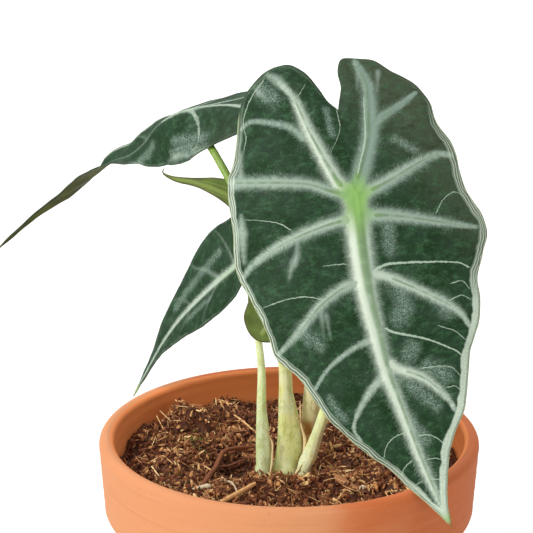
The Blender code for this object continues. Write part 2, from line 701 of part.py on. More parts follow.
def make_pot(parts, cutters, material):
    """Turn the pot from its profile and cut the drain holes."""
    profile = pot_profile()
    mesh = bpy.data.meshes.new("pot")
    edges = [(i, (i + 1) % len(profile)) for i in range(len(profile))]
    axis_edge = next(i for i, (r, z) in enumerate(profile) if r == 0.0 and z == 0.0)
    edges = [edge for edge in edges if edge[0] != axis_edge]
    mesh.from_pydata([(r, 0.0, z) for r, z in profile], edges, [])
    pot = add_object("pot", mesh, parts, material)
    screw = pot.modifiers.new("Turn", "SCREW")
    screw.steps = POT_STEPS
    screw.render_steps = POT_STEPS
    screw.use_merge_vertices = True
    screw.merge_threshold = MERGE_DISTANCE
    screw.use_normal_calculate = False
    middle = FLOOR_THICKNESS / 2.0
    for index in range(DRAIN_HOLE_COUNT):
        turn = math.tau * (index + 0.5) / DRAIN_HOLE_COUNT
        place = (DRAIN_RING_RADIUS * math.cos(turn), DRAIN_RING_RADIUS * math.sin(turn), middle)
        cut(pot, add_cutter(f"drain_{index}", place, DRAIN_HOLE_RADIUS, 4.0 * middle, cutters))
    return pot


def soil_height(x, y):
    """Return the soil's surface height: banked up at the left and back, lumpy away from the stems."""
    reach = math.hypot(x, y) / RIM_RADIUS
    bank = SOIL_BANK_LEFT * (0.5 - 0.5 * x / RIM_RADIUS) + SOIL_BANK_BACK * max(y, 0.0) / RIM_RADIUS
    lumps = LUMP_HEIGHT * noise.noise(Vector((x, y, 0.0)) / LUMP_LENGTH)
    crumbs = CRUMB_HEIGHT * noise.noise(Vector((x, y, RIM_RADIUS)) / CRUMB_LENGTH)
    stems = min(math.hypot(x - p.foot[0], y - p.foot[1]) - p.foot_radius for p in PETIOLES)
    free = min(max(stems / STEM_LEVEL_WIDTH, 0.0), 1.0)
    return SOIL_LEVEL + bank * reach**2 + free * (lumps + crumbs)


def make_soil(parts, cutters, material):
    """Build the soil as a plug with a lumpy top, and cut the holes that the petioles stand in."""
    bm = bmesh.new()
    bmesh.ops.create_grid(bm, x_segments=SOIL_SECTORS, y_segments=SOIL_RINGS, size=0.5)
    for vert in bm.verts:
        turn = (vert.co.x + 0.5) * math.tau
        share = vert.co.y + 0.5
        wall = inner_radius(SOIL_LEVEL) - GAP
        x, y = share * wall * math.cos(turn), share * wall * math.sin(turn)
        z = soil_height(x, y)
        edge = inner_radius(z) - 2.0 * GAP if share == 1.0 else share * wall
        vert.co = (edge * math.cos(turn), edge * math.sin(turn), z)
    bmesh.ops.remove_doubles(bm, verts=bm.verts[:], dist=MERGE_DISTANCE)
    rim = [edge for edge in bm.edges if edge.is_boundary]
    for z in (COLLAR_HOLLOW_HEIGHT, POT_HEIGHT - COLLAR_HEIGHT, SOIL_LEVEL - SOIL_DEPTH):
        grown = bmesh.ops.extrude_edge_only(bm, edges=rim)["geom"]
        for vert in (item for item in grown if isinstance(item, bmesh.types.BMVert)):
            turn = math.atan2(vert.co.y, vert.co.x)
            radius = inner_radius(z) - 2.0 * GAP
            vert.co = (radius * math.cos(turn), radius * math.sin(turn), z)
        rim = [item for item in grown if isinstance(item, bmesh.types.BMEdge)]
    bmesh.ops.contextual_create(bm, geom=rim)
    bmesh.ops.triangulate(bm, faces=bm.faces[:])
    bmesh.ops.recalc_face_normals(bm, faces=bm.faces[:])
    soil = add_object("soil", mesh_from(bm, "soil"), parts, material)
    for petiole in PETIOLES:
        depth = 2.0 * STEM_HOLE_DEPTH
        place = (*petiole.foot, SOIL_LEVEL)
        radius = petiole.foot_radius + 2.0 * GAP
        cut(soil, add_cutter(f"hole_{petiole.name}", place, radius, depth, cutters))
    return soil


def main():
    """Build the potted plant."""
    clear_scene()
    parts = make_collection("potted_alocasia")
    cutters = make_collection("cutters")
    terracotta = make_material("terracotta", (0.60, 0.22, 0.09), 0.85)
    earth = make_material("coir_soil", (0.09, 0.045, 0.025), 0.95)
    blade = make_material("blade_green", (0.035, 0.10, 0.045), 0.55)
    stalk = make_material("petiole_green", (0.55, 0.62, 0.25), 0.45)
    make_pot(parts, cutters, terracotta)
    make_soil(parts, cutters, earth)
    for leaf in LEAVES:
        make_blade(leaf, parts, blade)
    for petiole in PETIOLES:
        make_petiole(petiole, parts, stalk)


if __name__ == "__main__":
    main()
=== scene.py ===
"""Looks of the potted alocasia: finer blades, stalks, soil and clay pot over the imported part, and a pale studio.

Every piece repeats the real sizes of the part's source, in metres, and rides on the one body "root".
"""

import logging
import math
from dataclasses import dataclass
from enum import Enum

import bpy
import numpy as np
from mathutils import Matrix, Vector, geometry, noise

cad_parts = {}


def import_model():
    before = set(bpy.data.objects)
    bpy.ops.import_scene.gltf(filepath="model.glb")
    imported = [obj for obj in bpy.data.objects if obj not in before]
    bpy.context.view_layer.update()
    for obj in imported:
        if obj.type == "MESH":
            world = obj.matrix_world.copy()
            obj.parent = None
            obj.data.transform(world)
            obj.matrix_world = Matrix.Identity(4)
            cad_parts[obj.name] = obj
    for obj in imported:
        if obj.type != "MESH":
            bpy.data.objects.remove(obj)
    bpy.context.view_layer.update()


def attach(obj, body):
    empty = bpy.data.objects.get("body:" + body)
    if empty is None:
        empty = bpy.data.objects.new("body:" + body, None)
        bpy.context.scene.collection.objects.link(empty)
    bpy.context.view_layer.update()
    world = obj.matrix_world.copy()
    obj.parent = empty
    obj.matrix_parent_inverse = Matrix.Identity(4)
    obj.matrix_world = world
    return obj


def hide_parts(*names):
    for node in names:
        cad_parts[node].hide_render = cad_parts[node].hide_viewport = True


LOG = logging.getLogger("potted_alocasia")
BODY = "root"
MM = 0.001

# Pot and soil sizes, as in the part's source
POT_HEIGHT = 0.135
RIM_RADIUS = 0.075
RIM_WIDTH = 0.006
COLLAR_HEIGHT = 0.035
COLLAR_FOOT_RADIUS = 0.0733
COLLAR_FOOT_ROUND = 0.006
COLLAR_FOOT_UNDERCUT = 0.0005
COLLAR_HOLLOW_HEIGHT = 0.104
COLLAR_HOLLOW_RADIUS = 0.0662
SHOULDER_RADIUS = 0.0655
WALL_THICKNESS = 0.0065
BASE_RADIUS = 0.049
BASE_BEVEL = 0.0012
BODY_FOOT_HEIGHT = 0.003
FLOOR_THICKNESS = 0.009
FLOOR_ROUND = 0.003
DRAIN_HOLE_RADIUS = 0.004
DRAIN_RING_RADIUS = 0.022
DRAIN_HOLE_COUNT = 3
SOIL_LEVEL = 0.1205
SOIL_DEPTH = 0.106
SOIL_BANK_LEFT = 0.0065
SOIL_BANK_BACK = 0.0018
LUMP_HEIGHT = 0.0022
LUMP_LENGTH = 0.0133
CRUMB_HEIGHT = 0.0010
CRUMB_LENGTH = 0.0048
CLOD_HEIGHT = 0.0022
CLOD_LENGTH = 0.0068
STEM_HOLE_DEPTH = 0.010
STEM_LEVEL_WIDTH = 0.008
SHEATH_START = 0.003
SHEATH_SPREAD = 0.55
PETIOLE_APPROACH = 0.0035
GAP = 0.0003
VEIN_THICKNESS = 0.0024
CURL_WIDTH = 0.040
RIPPLE_LENGTH = 0.0393
RIPPLE_SHIFT = 1.3

# A depth or gap past every vein, and how far the hairs' pattern moves from vein to vein, in millimetres
FAR = 20.0
PATTERN_STEP = 50.0

# How finely the pieces are divided
OUTLINE_STEPS = 8
SPINE_STEPS = 12
POT_SIDES = 160
STALK_SIDES = 28
STALK_CUTS = 90
NET_ROW_STEP = 0.866
NET_GAP = 0.6
RIB_LEVELS = 40


class VeinKind(Enum):
    """How a vein shows: a wide felted band, a thin bright line, a soft smear of hairs or a cloud of pale painted
    sheen.
    """

    BAND = "band"
    LINE = "line"
    SMEAR = "smear"
    CLOUD = "cloud"


@dataclass(frozen=True)
class Vein:
    """A vein in a blade's flat measures, in millimetres from the heart.

    points run from the root outwards as (across, along), and widths are half widths, evenly spaced.
    Its two light values are painted light, how bright its left and right side are painted, most on the side
    facing the key light. lean moves the core to the right of the middle, as evenly spaced shares of the half width.
    """

    kind: VeinKind
    widths: tuple
    points: tuple
    painted_light_sides: tuple = (0.6, 0.15)
    lean: tuple = (0.0,)


@dataclass(frozen=True)
class Hem:
    """The margin's look at a share of the outline, from 0 at the notch to 1 at the tip."""

    share: float
    pale: float
    width: float
    lines: float = 0.3


@dataclass(frozen=True)
class Leaf:
    """One blade in its own flat measures, and the spine that it is bent along.

    a runs across the blade from the midrib, and b along the midrib from the petiole to the tip. Each
    half turns up from the spine's side direction by its bend, and on by its curl over CURL_WIDTH.
    """

    name: str
    spine: tuple
    heart: int
    side: tuple
    bend: tuple
    curl: tuple
    left: tuple
    right: tuple
    puff: float
    wave: float


FRONT_LEAF = Leaf(
    name="front_leaf_blade",
    spine=(
        (0.0164, 0.003, 0.2924), (0.0178, -0.0092, 0.2685), (0.021, -0.0174, 0.2533),
        (0.0239, -0.024, 0.2398), (0.026, -0.0317, 0.2228), (0.0297, -0.0402, 0.2023),
        (0.0348, -0.0476, 0.1814), (0.0403, -0.0523, 0.1674), (0.0489, -0.0583, 0.146),
        (0.0603, -0.0641, 0.1222),
    ),
    heart=3,
    side=(1, 0, 0),
    bend=((-0.06, 6, 6), (0, 6, 6), (0.06, 4, 4), (0.135, 0, 0)),
    curl=((-0.06, -24, -20), (0, -30, -20), (0.06, -28, -18), (0.135, -20, -16)),
    left=(
        (0, -0.033), (-0.004, -0.037), (-0.01, -0.046), (-0.017, -0.0505), (-0.025, -0.0495),
        (-0.032, -0.044), (-0.037, -0.0365), (-0.039, -0.03), (-0.042, -0.024), (-0.0462, -0.017),
        (-0.0485, -0.007), (-0.0483, 0.007), (-0.049, 0.0215), (-0.046, 0.029), (-0.0425, 0.038),
        (-0.0403, 0.045), (-0.0393, 0.053), (-0.033, 0.06), (-0.029, 0.0675), (-0.0245, 0.0805),
        (-0.0177, 0.0923), (-0.012, 0.101), (-0.0073, 0.1113), (-0.003, 0.121), (0, 0.1306),
    ),
    right=(
        (0, -0.033), (0.0015, -0.041), (0.0008, -0.048), (0.0022, -0.052), (0.0068, -0.0525),
        (0.015, -0.051), (0.021, -0.047), (0.03, -0.041), (0.0347, -0.031), (0.036, -0.02),
        (0.04, -0.0125), (0.0408, -0.0023), (0.042, 0.003), (0.047, 0.011), (0.048, 0.021),
        (0.0455, 0.028), (0.0418, 0.0375), (0.0394, 0.053), (0.034, 0.066), (0.027, 0.08),
        (0.0217, 0.09), (0.014, 0.0985), (0.01, 0.105), (0.006, 0.1127), (0.0022, 0.1212),
        (0, 0.1306),
    ),
    puff=0.0008,
    wave=0.001,
)

HIGH_LEAF = Leaf(
    name="high_leaf_blade",
    spine=(
        (-0.0019, 0.009, 0.2709), (-0.0188, 0.0185, 0.2638), (-0.0387, 0.028, 0.2593),
        (-0.0459, 0.0315, 0.256), (-0.052, 0.0355, 0.2505), (-0.058, 0.0405, 0.2412),
        (-0.0638, 0.044, 0.2356), (-0.0707, 0.0465, 0.2324), (-0.0784, 0.049, 0.2259),
        (-0.0877, 0.0515, 0.2195), (-0.1013, 0.0555, 0.2091), (-0.1227, 0.061, 0.1891),
    ),
    heart=2,
    side=(0, -1, 0),
    bend=(
        (-0.045, 4, -25), (-0.021, 3, -25), (-0.012, 2, -25), (0, -8, -26),
        (0.014, -20, -26), (0.022, -14, -24), (0.029, 2, -20), (0.036, 12, -2),
        (0.044, 18, 14), (0.052, 14, 30), (0.06, -6, 40), (0.066, -20, 44),
        (0.074, -38, 46), (0.116, -45, 48),
    ),
    curl=(
        (-0.045, -16, -88), (-0.012, -16, -80), (0, -10, -76), (0.014, -10, -70),
        (0.022, -8, -56), (0.029, -6, -44), (0.036, -4, -14), (0.044, -2, 0),
        (0.116, 0, 0),
    ),
    left=(
        (0, -0.023), (-0.001, -0.028), (-0.005, -0.037), (-0.01, -0.0395), (-0.016, -0.036),
        (-0.02, -0.025), (-0.0215, -0.012), (-0.0213, -0.004), (-0.0205, 0.006), (-0.0185, 0.016),
        (-0.0168, 0.0245), (-0.015, 0.031), (-0.0125, 0.038), (-0.0102, 0.0425), (-0.0086, 0.048),
        (-0.0078, 0.055), (-0.0066, 0.0605), (-0.0054, 0.066), (-0.0036, 0.076), (-0.0016, 0.091),
        (-0.0008, 0.105), (0, 0.1162),
    ),
    right=(
        (0, -0.023), (0.0015, -0.028), (0.0045, -0.0355), (0.009, -0.036), (0.0125, -0.029),
        (0.014, -0.022), (0.0165, -0.016), (0.02, -0.008), (0.0222, -0.002), (0.0226, 0.004),
        (0.0214, 0.01), (0.0196, 0.016), (0.0178, 0.0205), (0.0158, 0.0245), (0.0123, 0.0285),
        (0.0083, 0.0325), (0.007, 0.037), (0.007, 0.043), (0.008, 0.049), (0.0084, 0.055),
        (0.007, 0.061), (0.0048, 0.067), (0.0026, 0.076), (0.0016, 0.091), (0.0008, 0.105),
        (0, 0.1162),
    ),
    puff=0.0004,
    wave=0.0003,
)

LOW_LEAF = Leaf(
    name="low_leaf_blade",
    spine=(
        (-0.0053, -0.002, 0.2241), (-0.0122, 0.008, 0.2121), (-0.0209, 0.017, 0.1985),
        (-0.0274, 0.022, 0.191), (-0.0351, 0.028, 0.1817), (-0.0439, 0.034, 0.1702),
        (-0.0516, 0.039, 0.1576), (-0.0573, 0.043, 0.146), (-0.0644, 0.047, 0.1316),
    ),
    heart=2,
    side=(-0.003, -0.91, -0.41),
    bend=(
        (-0.04, 22, 0), (0, 22, -2), (0.04, 18, -4), (0.06, 10, -4),
        (0.09, 5, -5),
    ),
    curl=((-0.04, -20, -28), (0, -20, -28), (0.09, -12, -12)),
    left=(
        (0, -0.008), (-0.003, -0.0125), (-0.008, -0.017), (-0.013, -0.018), (-0.017, -0.0145),
        (-0.02, -0.008), (-0.022, 0), (-0.0238, 0.008), (-0.024, 0.015), (-0.022, 0.022),
        (-0.017, 0.03), (-0.013, 0.038), (-0.0105, 0.048), (-0.0082, 0.056), (-0.0045, 0.064),
        (-0.0024, 0.073), (0, 0.0859),
    ),
    right=(
        (0, -0.008), (0.0025, -0.0105), (0.006, -0.01), (0.0092, -0.007), (0.0118, -0.003),
        (0.0138, 0.001), (0.015, 0.006), (0.0155, 0.012), (0.015, 0.02), (0.0138, 0.028),
        (0.011, 0.038), (0.008, 0.048), (0.0045, 0.057), (0.0026, 0.065), (0.0015, 0.074),
        (0, 0.0859),
    ),
    puff=0.0004,
    wave=0.0004,
)

BACK_LEAF = Leaf(
    name="back_leaf_blade",
    spine=(
        (0.0233, -0.002, 0.2003), (0.0137, 0.0005, 0.2056), (0.004, 0.003, 0.2117),
        (-0.0068, 0.0059, 0.2192), (-0.018, 0.0089, 0.2268), (-0.0288, 0.0116, 0.2316),
        (-0.0385, 0.0137, 0.2342), (-0.0459, 0.0152, 0.2354), (-0.049, 0.016, 0.2372),
        (-0.0484, 0.0161, 0.2384),
    ),
    heart=2,
    side=(0.554, -0.005, 0.832),
    bend=((-0.03, 6, 8), (0.07, 4, 6)),
    curl=((-0.03, -14, -24), (0.07, -8, -12)),
    left=(
        (0, -0.0034), (-0.0045, -0.008), (-0.0123, -0.0125), (-0.0205, -0.0152),
        (-0.0291, -0.0157), (-0.0357, -0.0134), (-0.0398, -0.0099), (-0.0414, -0.0067),
        (-0.0412, -0.004), (-0.0395, -0.001), (-0.0367, 0.0015), (-0.0301, 0.0036),
        (-0.024, 0.0065), (-0.0162, 0.0133), (-0.009, 0.0215), (-0.0046, 0.03),
        (-0.0031, 0.0362), (-0.0024, 0.0408), (-0.0017, 0.0453), (-0.0015, 0.053),
        (-0.0008, 0.058), (0, 0.0626),
    ),
    right=(
        (0, -0.0034), (0.0015, -0.011), (0.0042, -0.0141), (0.0085, -0.0122),
        (0.0125, -0.005), (0.0142, 0.003), (0.014, 0.01), (0.012, 0.019),
        (0.0085, 0.028), (0.0054, 0.0364), (0.0042, 0.0411), (0.0029, 0.0446),
        (0.0013, 0.0501), (0.0006, 0.057), (0, 0.0626),
    ),
    puff=0.0004,
    wave=0.0004,
)


def band(*points: tuple, widths: tuple, painted_light_sides: tuple = (0.6, 0.15), lean: tuple = (0.0,)) -> Vein:
    """Return a felted vein of those half widths through the points."""
    return Vein(VeinKind.BAND, widths, points, painted_light_sides, lean)


def line(*points: tuple, width: float = 0.16) -> Vein:
    """Return a thin bright vein through the points."""
    return Vein(VeinKind.LINE, (width, width * 0.6), points)


def smear(*points: tuple, widths: tuple) -> Vein:
    """Return a soft smear of pale hairs along the points."""
    return Vein(VeinKind.SMEAR, widths, points)


def cloud(*points: tuple, width: float) -> Vein:
    """Return a cloud of painted sheen, pale and silvery, along the points."""
    return Vein(VeinKind.CLOUD, (width,), points)


FRONT_VEINS = (
    band((0, 0), (-0.4, 20), (-0.8, 38), (-0.3, 52), (-0.3, 72), (0, 100), (0, 130),
         widths=(5.4, 5.5, 4.4, 3.4, 2.8, 2.4, 1), painted_light_sides=(1, 0.4), lean=(0.15, 0.2, 0.37, 0.25, 0.15, 0)),
    band((0, 0), (-4.7, -4.7), (-7.2, -10.7), (-11.6, -25.2), (-16.2, -38.5), (-21, -44),
         widths=(3.8, 3.4, 3, 2.3, 0.8), painted_light_sides=(1, 0.45)),
    band((-14.9, -25.3), (-18.7, -29), (-24, -31), (-33.4, -32.7), (-37.3, -31.2),
         widths=(1.7, 1, 0.7, 0.4), painted_light_sides=(0.2, 0.1)),
    band((0, 0.6), (-8.5, -2.8), (-15.6, -7), (-22.8, -9.4), (-43.2, -14.3),
         widths=(3.2, 2.7, 2.8, 2.7, 2.2), painted_light_sides=(0.3, 0.2)),
    band((0, 8.8), (-8.6, 9.7), (-22, 13), (-34.1, 16.9), (-42.9, 20.7), (-45.5, 23),
         widths=(3.1, 2.7, 2.3, 1.7, 0.9), painted_light_sides=(1, 0)),
    smear((-23.3, 14.6), (-24, 19.1), (-27.1, 23.9), (-28.5, 27.6), widths=(0.8, 1.9, 0.4)),
    band((0, 31.8), (-8.1, 33.2), (-14.2, 35.8), (-19.4, 38.8), (-28.7, 46.3), (-37.8, 52),
         widths=(2.8, 2.4, 2.1, 1.6, 0.7), painted_light_sides=(0.7, 0.1)),
    smear((-18.7, 40.3), (-19.5, 49.6), widths=(1.2, 0.2)),
    smear((-17.1, 41.7), (-17.1, 50.8), widths=(1, 0.2)),
    band((0, 53.8), (-7, 54.7), (-19.7, 59.7), (-27.5, 65.1), widths=(1.4, 0.9, 0.6, 0.3), painted_light_sides=(0.3, 0.3)),
    band((0, 68), (-2.4, 68.3), (-7.8, 70.9), (-16.1, 77.6), (-19.1, 82.6), (-18.1, 87.4),
         widths=(1.7, 1.6, 1.1, 0.6, 0.3), painted_light_sides=(0.5, 0.4)),
    line((-25.6, 10.5), (-29.1, 7.8), (-42.8, 3.7)),
    line((-6.9, 24.9), (-14.3, 24.5)),
    line((-18.2, 35.7), (-23.5, 34.1), (-29.3, 33.8), (-39.5, 34.9)),
    line((-2.5, 89.9), (-6.6, 90.3), (-10.2, 92.5), (-12.3, 95.7)),
    line((-3.5, 100.6), (-6.9, 102), (-8.6, 104)),
    line((-3.5, 109), (-5.3, 109.4)),
    line((-0.6, -33), (-0.4, -25.9), (-1.9, -22.7), (-5.6, -17.6), width=0.1),
    line((-27.3, -45.3), (-31.9, -40.1), (-34.5, -36.3), (-36.3, -32.3), (-35.9, -28.7), (-37.5, -25.6)),
    line((-14.5, -39), (-13.3, -40.4), (-11.6, -42.9), width=0.1),
    line((-12.3, -31.7), (-10.3, -32.4), (-8.1, -35), width=0.07),
    smear((-29.4, -41.6), (-26.6, -38.7), widths=(1.4, 0.6)),
    smear((-25.3, -47), (-22.4, -45.3), (-19.5, -42.6), widths=(1.4, 2.4, 2)),
    smear((-38.1, -25.1), (-39.9, -21.1), (-41.6, -15), widths=(0.4, 1.2, 2.4)),
    smear((-43.9, -14.2), (-39.5, -13.4), widths=(2.8, 1.8)),
    smear((-44.2, 0.2), (-44.7, 9.9), (-45.1, 18.4), widths=(0.8, 2.8, 1.2)),
    # Clouds of painted sheen on the velvet.
    cloud((10.7, 38.4), (11.9, 43.7), (9.5, 48.2), width=5.2),
    cloud((11.3, 60.5), (9.1, 63.2), width=4.6),
    cloud((15.1, 69.6), (19.7, 75.4), width=4.6),
    cloud((5.2, 71.9), (8.7, 78), (12.5, 84.4), width=3.6),
    cloud((10.7, 13.6), (10.4, 22.2), width=3.6),
    cloud((-27.9, -41.4), (-24.3, -39.1), width=4.4),
    cloud((-4.5, -33.3), (-3.9, -23.8), width=2),
    cloud((-27.8, 45.1), (-22.3, 51.6), width=3.8),
    cloud((25.4, 44.5), (27.4, 49.7), width=4.6),
    cloud((18.7, -17.3), (25.3, -12.3), width=2.4),
    cloud((1.6, 86.3), (4.1, 95.2), width=3.6),
    cloud((-23.5, 69.2), (-21, 77.6), width=2.2),
    band((0, 0), (9.9, -20.9), (11.1, -26.8), (11.8, -35.4), (11.5, -41.7), (7.5, -50.9),
         widths=(4, 3.8, 3.6, 3.2, 2.8, 1.2), painted_light_sides=(0.1, 0), lean=(-0.25, -0.25, -0.1)),
    line((2.6, -8), (7.9, -20), (9.2, -27.4), (10, -36), width=0.26),
    band((10.3, -22.8), (11.5, -24.6), (23.1, -31.6), (29.4, -37.2), widths=(2.1, 2.1, 1.9, 0.9), painted_light_sides=(0, 0)),
    smear((8.3, -46), (7.7, -39.9), widths=(1, 0.2)),
    smear((15.9, -46.7), (15.1, -38.6), widths=(1.1, 0.2)),
    band((0, 0.8), (9.9, -1.9), (33.4, -9.2), (38.3, -8.1), widths=(3.2, 2.9, 2.6, 2, 1),
         painted_light_sides=(0.6, 0)),
    band((0, 8), (12, 8.9), (26.6, 12.2), (44, 17.1), widths=(3.3, 3, 2.7, 2.1, 1.1), painted_light_sides=(0.3, 0.1)),
    line((3.2, 29), (7.7, 27.5), (13.3, 27.7), (35.6, 31.3), (38.4, 33.4), width=0.42),
    band((3.4, 30.3), (7, 31.6), (22.1, 41.9), (31.8, 50.8), (34.4, 57.6),
         widths=(2.5, 2.6, 2.3, 1.8, 0.8), painted_light_sides=(0.6, 0.4)),
    line((3.8, 51.2), (4.9, 52.2), (18.5, 59.2), (26.5, 67.3), (28.3, 70.9), width=0.42),
    band((2.2, 64.2), (4, 66.6), (10.3, 71.9), (13.5, 76), (17.9, 84.9), (18.4, 88.7),
         widths=(2.4, 2.6, 2.4, 1.5, 0.6), painted_light_sides=(0.85, 0.5)),
    line((29.5, 9.2), (31.4, 6.2), (34, 4.1), (37.3, 3.1), (39.9, 4.2), width=0.12),
    line((31.1, 38.9), (35.1, 38.8), (37.1, 42.1)),
    line((29.1, 45.3), (33.9, 44.3), (36.6, 46.5)),
    line((23.3, 54.6), (28.4, 58.1), (31.3, 63.2)),
    line((12.6, 69.8), (20.2, 72.2), (23.3, 74.4), (24.8, 77.7)),
    line((19, 79.9), (21.6, 80.5), (22.8, 82.4)),
    line((3.1, 92.8), (6.5, 94.1), (9.3, 97.3), (10.5, 100.3)),
    line((2.6, 102.3), (5.4, 103.1), (7.9, 105)),
    line((1.3, 109.9), (4.3, 111.3)),
)

HIGH_VEINS = (
    band((0, 0), (0, 14), widths=(1.3, 1.1, 0.7), painted_light_sides=(0.4, 0.7)),
    smear((0, 12), (0, 116), widths=(0.9, 0.5, 0.3, 0.3)),
    band((0, 0), (-1, -8), (-0.9, -15), (1.5, -23), (4.5, -31),
         widths=(1.2, 1, 0.7, 0.4), painted_light_sides=(0.6, 0.6)),
    band((0, 0), (-5, -12), (-10, -26), (-11, -33), widths=(1, 0.8, 0.6, 0.4)),
    band((0, 0), (6.4, -5), (11.8, -7), (17.1, -6.6), (19.1, -4.1),
         widths=(0.8, 0.7, 0.3, 0, -0.2), painted_light_sides=(0.4, 0.4)),
    band((0, 0), (-9, -3), (-18.5, -3.5), widths=(0.8, 0.6, 0.3)),
    band((0, 9), (-8, 12), (-16, 18), widths=(0.7, 0.5, 0.2)),
    smear((0, 27), (-6, 31), (-11.5, 37), widths=(0.6, 0.3)),
    smear((4, 44.9), (6, 50.6), (6.3, 58.2), (4.4, 71.4), widths=(0.5, 0.6, 0.5, 0.1)),
    # Painted highlights: these clouds and the two smears below stand for the light caught on the crinkled folds.
    cloud((17.5, 12), (19, 2), (18.5, -10), width=3.4),
    cloud((13, 8), (14.5, -2), (14, -9), width=3.4),
    cloud((6, 24), (9, 34), width=3.4),
    smear((17.4, 18), (19, 8), (20.4, -1), (19, -8), widths=(0.3, 1.7, 1.1, 0.3)),
    smear((15, 14), (16.8, 5), (16.6, -4), (15, -11), widths=(0.1, 0.7, 0.5, 0)),
)

LOW_VEINS = (
    band((0, 0), (0, 30), (0, 86), widths=(2.3, 1.8, 1.3, 0.7, 0.1), painted_light_sides=(0.8, 0.5), lean=(0.9,)),
    smear((0, 10.5), (-2.9, 12.9), (-9.4, 18.9), (-13.8, 24.2), (-18, 27), widths=(1.3, 1, 0.6, 0.2)),
    smear((0, 0), (-8.6, 2), (-16.4, 5.4), (-22, 9), widths=(1, 0.7, 0.4, 0.2)),
    smear((0, 11), (7.4, 19.4), (12.5, 24), widths=(0.9, 0.5, 0.1)),
    smear((0, 0), (-6, -6.5), (-11.5, -14), widths=(1.2, 0.8, 0.4)),
    smear((0, 0), (5.5, -3.5), (10, -4.5), widths=(0.9, 0.6, 0.3)),
    smear((0, 31), (-7, 36), (-11.5, 43), widths=(0.5, 0.2, 0)),
    smear((0, 32), (5, 37), (8.5, 44), widths=(0.5, 0.2, 0)),
    # Clouds of painted sheen on the velvet.
    cloud((-11, 8), (-9, 22), (-6, 40), width=3),
    cloud((5, 18), (5, 34), width=2.4),
)

BACK_VEINS = (
    band((0, 0), (0, 62), widths=(1.2, 0.9, 0.6, 0.3)),
    band((0, 0), (-12, -4), (-26, -7.5), (-38, -7), widths=(1.2, 0.9, 0.6, 0.3)),
    band((-7, -2.2), (-19, -9), (-28, -13), widths=(0.8, 0.5, 0.3)),
    band((0, 5), (-12, 4), (-28, 1), widths=(0.9, 0.6, 0.3)),
    band((0, 12), (-7, 15), (-12, 16.5), widths=(0.7, 0.3)),
    band((0, 0), (2.5, -6), (4.5, -12), widths=(0.8, 0.4)),
    band((0, 4), (6, 6), (12.5, 10), widths=(0.8, 0.5, 0.3)),
    line((-0.8, 20), (-1.5, 35), (-1.2, 48)),
    line((1, 22), (2.2, 34), (1.4, 45)),
)

FRONT_HEMS = (
    (Hem(0, 0.05, 1, 0), Hem(0.22, 0.15, 1.6, 0), Hem(0.3, 0.3, 2.6, 0.6), Hem(0.36, 0.35, 2.6, 0.75),
     Hem(0.44, 0.35, 2.4, 0.75), Hem(0.5, 0.3, 2.2, 0.7), Hem(0.84, 0.15, 2.3, 0.6),
     Hem(0.92, 0.7, 2.2), Hem(1, 1, 1.6)),
    (Hem(0, 0, 1, 0), Hem(0.24, 0.05, 1.4, 0), Hem(0.34, 0.15, 3, 0.5), Hem(0.56, 0.3, 2.9, 0.6),
     Hem(0.61, 0.9, 3.1, 0.15), Hem(0.92, 0.95, 3.2, 0.15), Hem(1, 1, 2, 0.15)),
)
HIGH_HEMS = (
    (Hem(0, 0.2, 1, 0), Hem(0.35, 0.6, 1.4, 0), Hem(0.75, 0.6, 1.4, 0), Hem(1, 0.2, 0.7, 0)),
    (Hem(0, 0.1, 1, 0), Hem(1, 0.2, 0.7, 0)),
)
PLAIN_HEMS = ((Hem(0, 0.1, 1, 0), Hem(1, 0.25, 0.7, 0)),) * 2


@dataclass(frozen=True)
class Petiole:
    """A leaf stalk: its foot in the soil, its free route to the heart of a blade, and its sheath."""

    name: str
    leaf: Leaf
    foot: tuple
    foot_radius: float
    route: tuple
    radii: tuple
    sheath_angle: float
    sheath_reach: float
    sheath_height: float


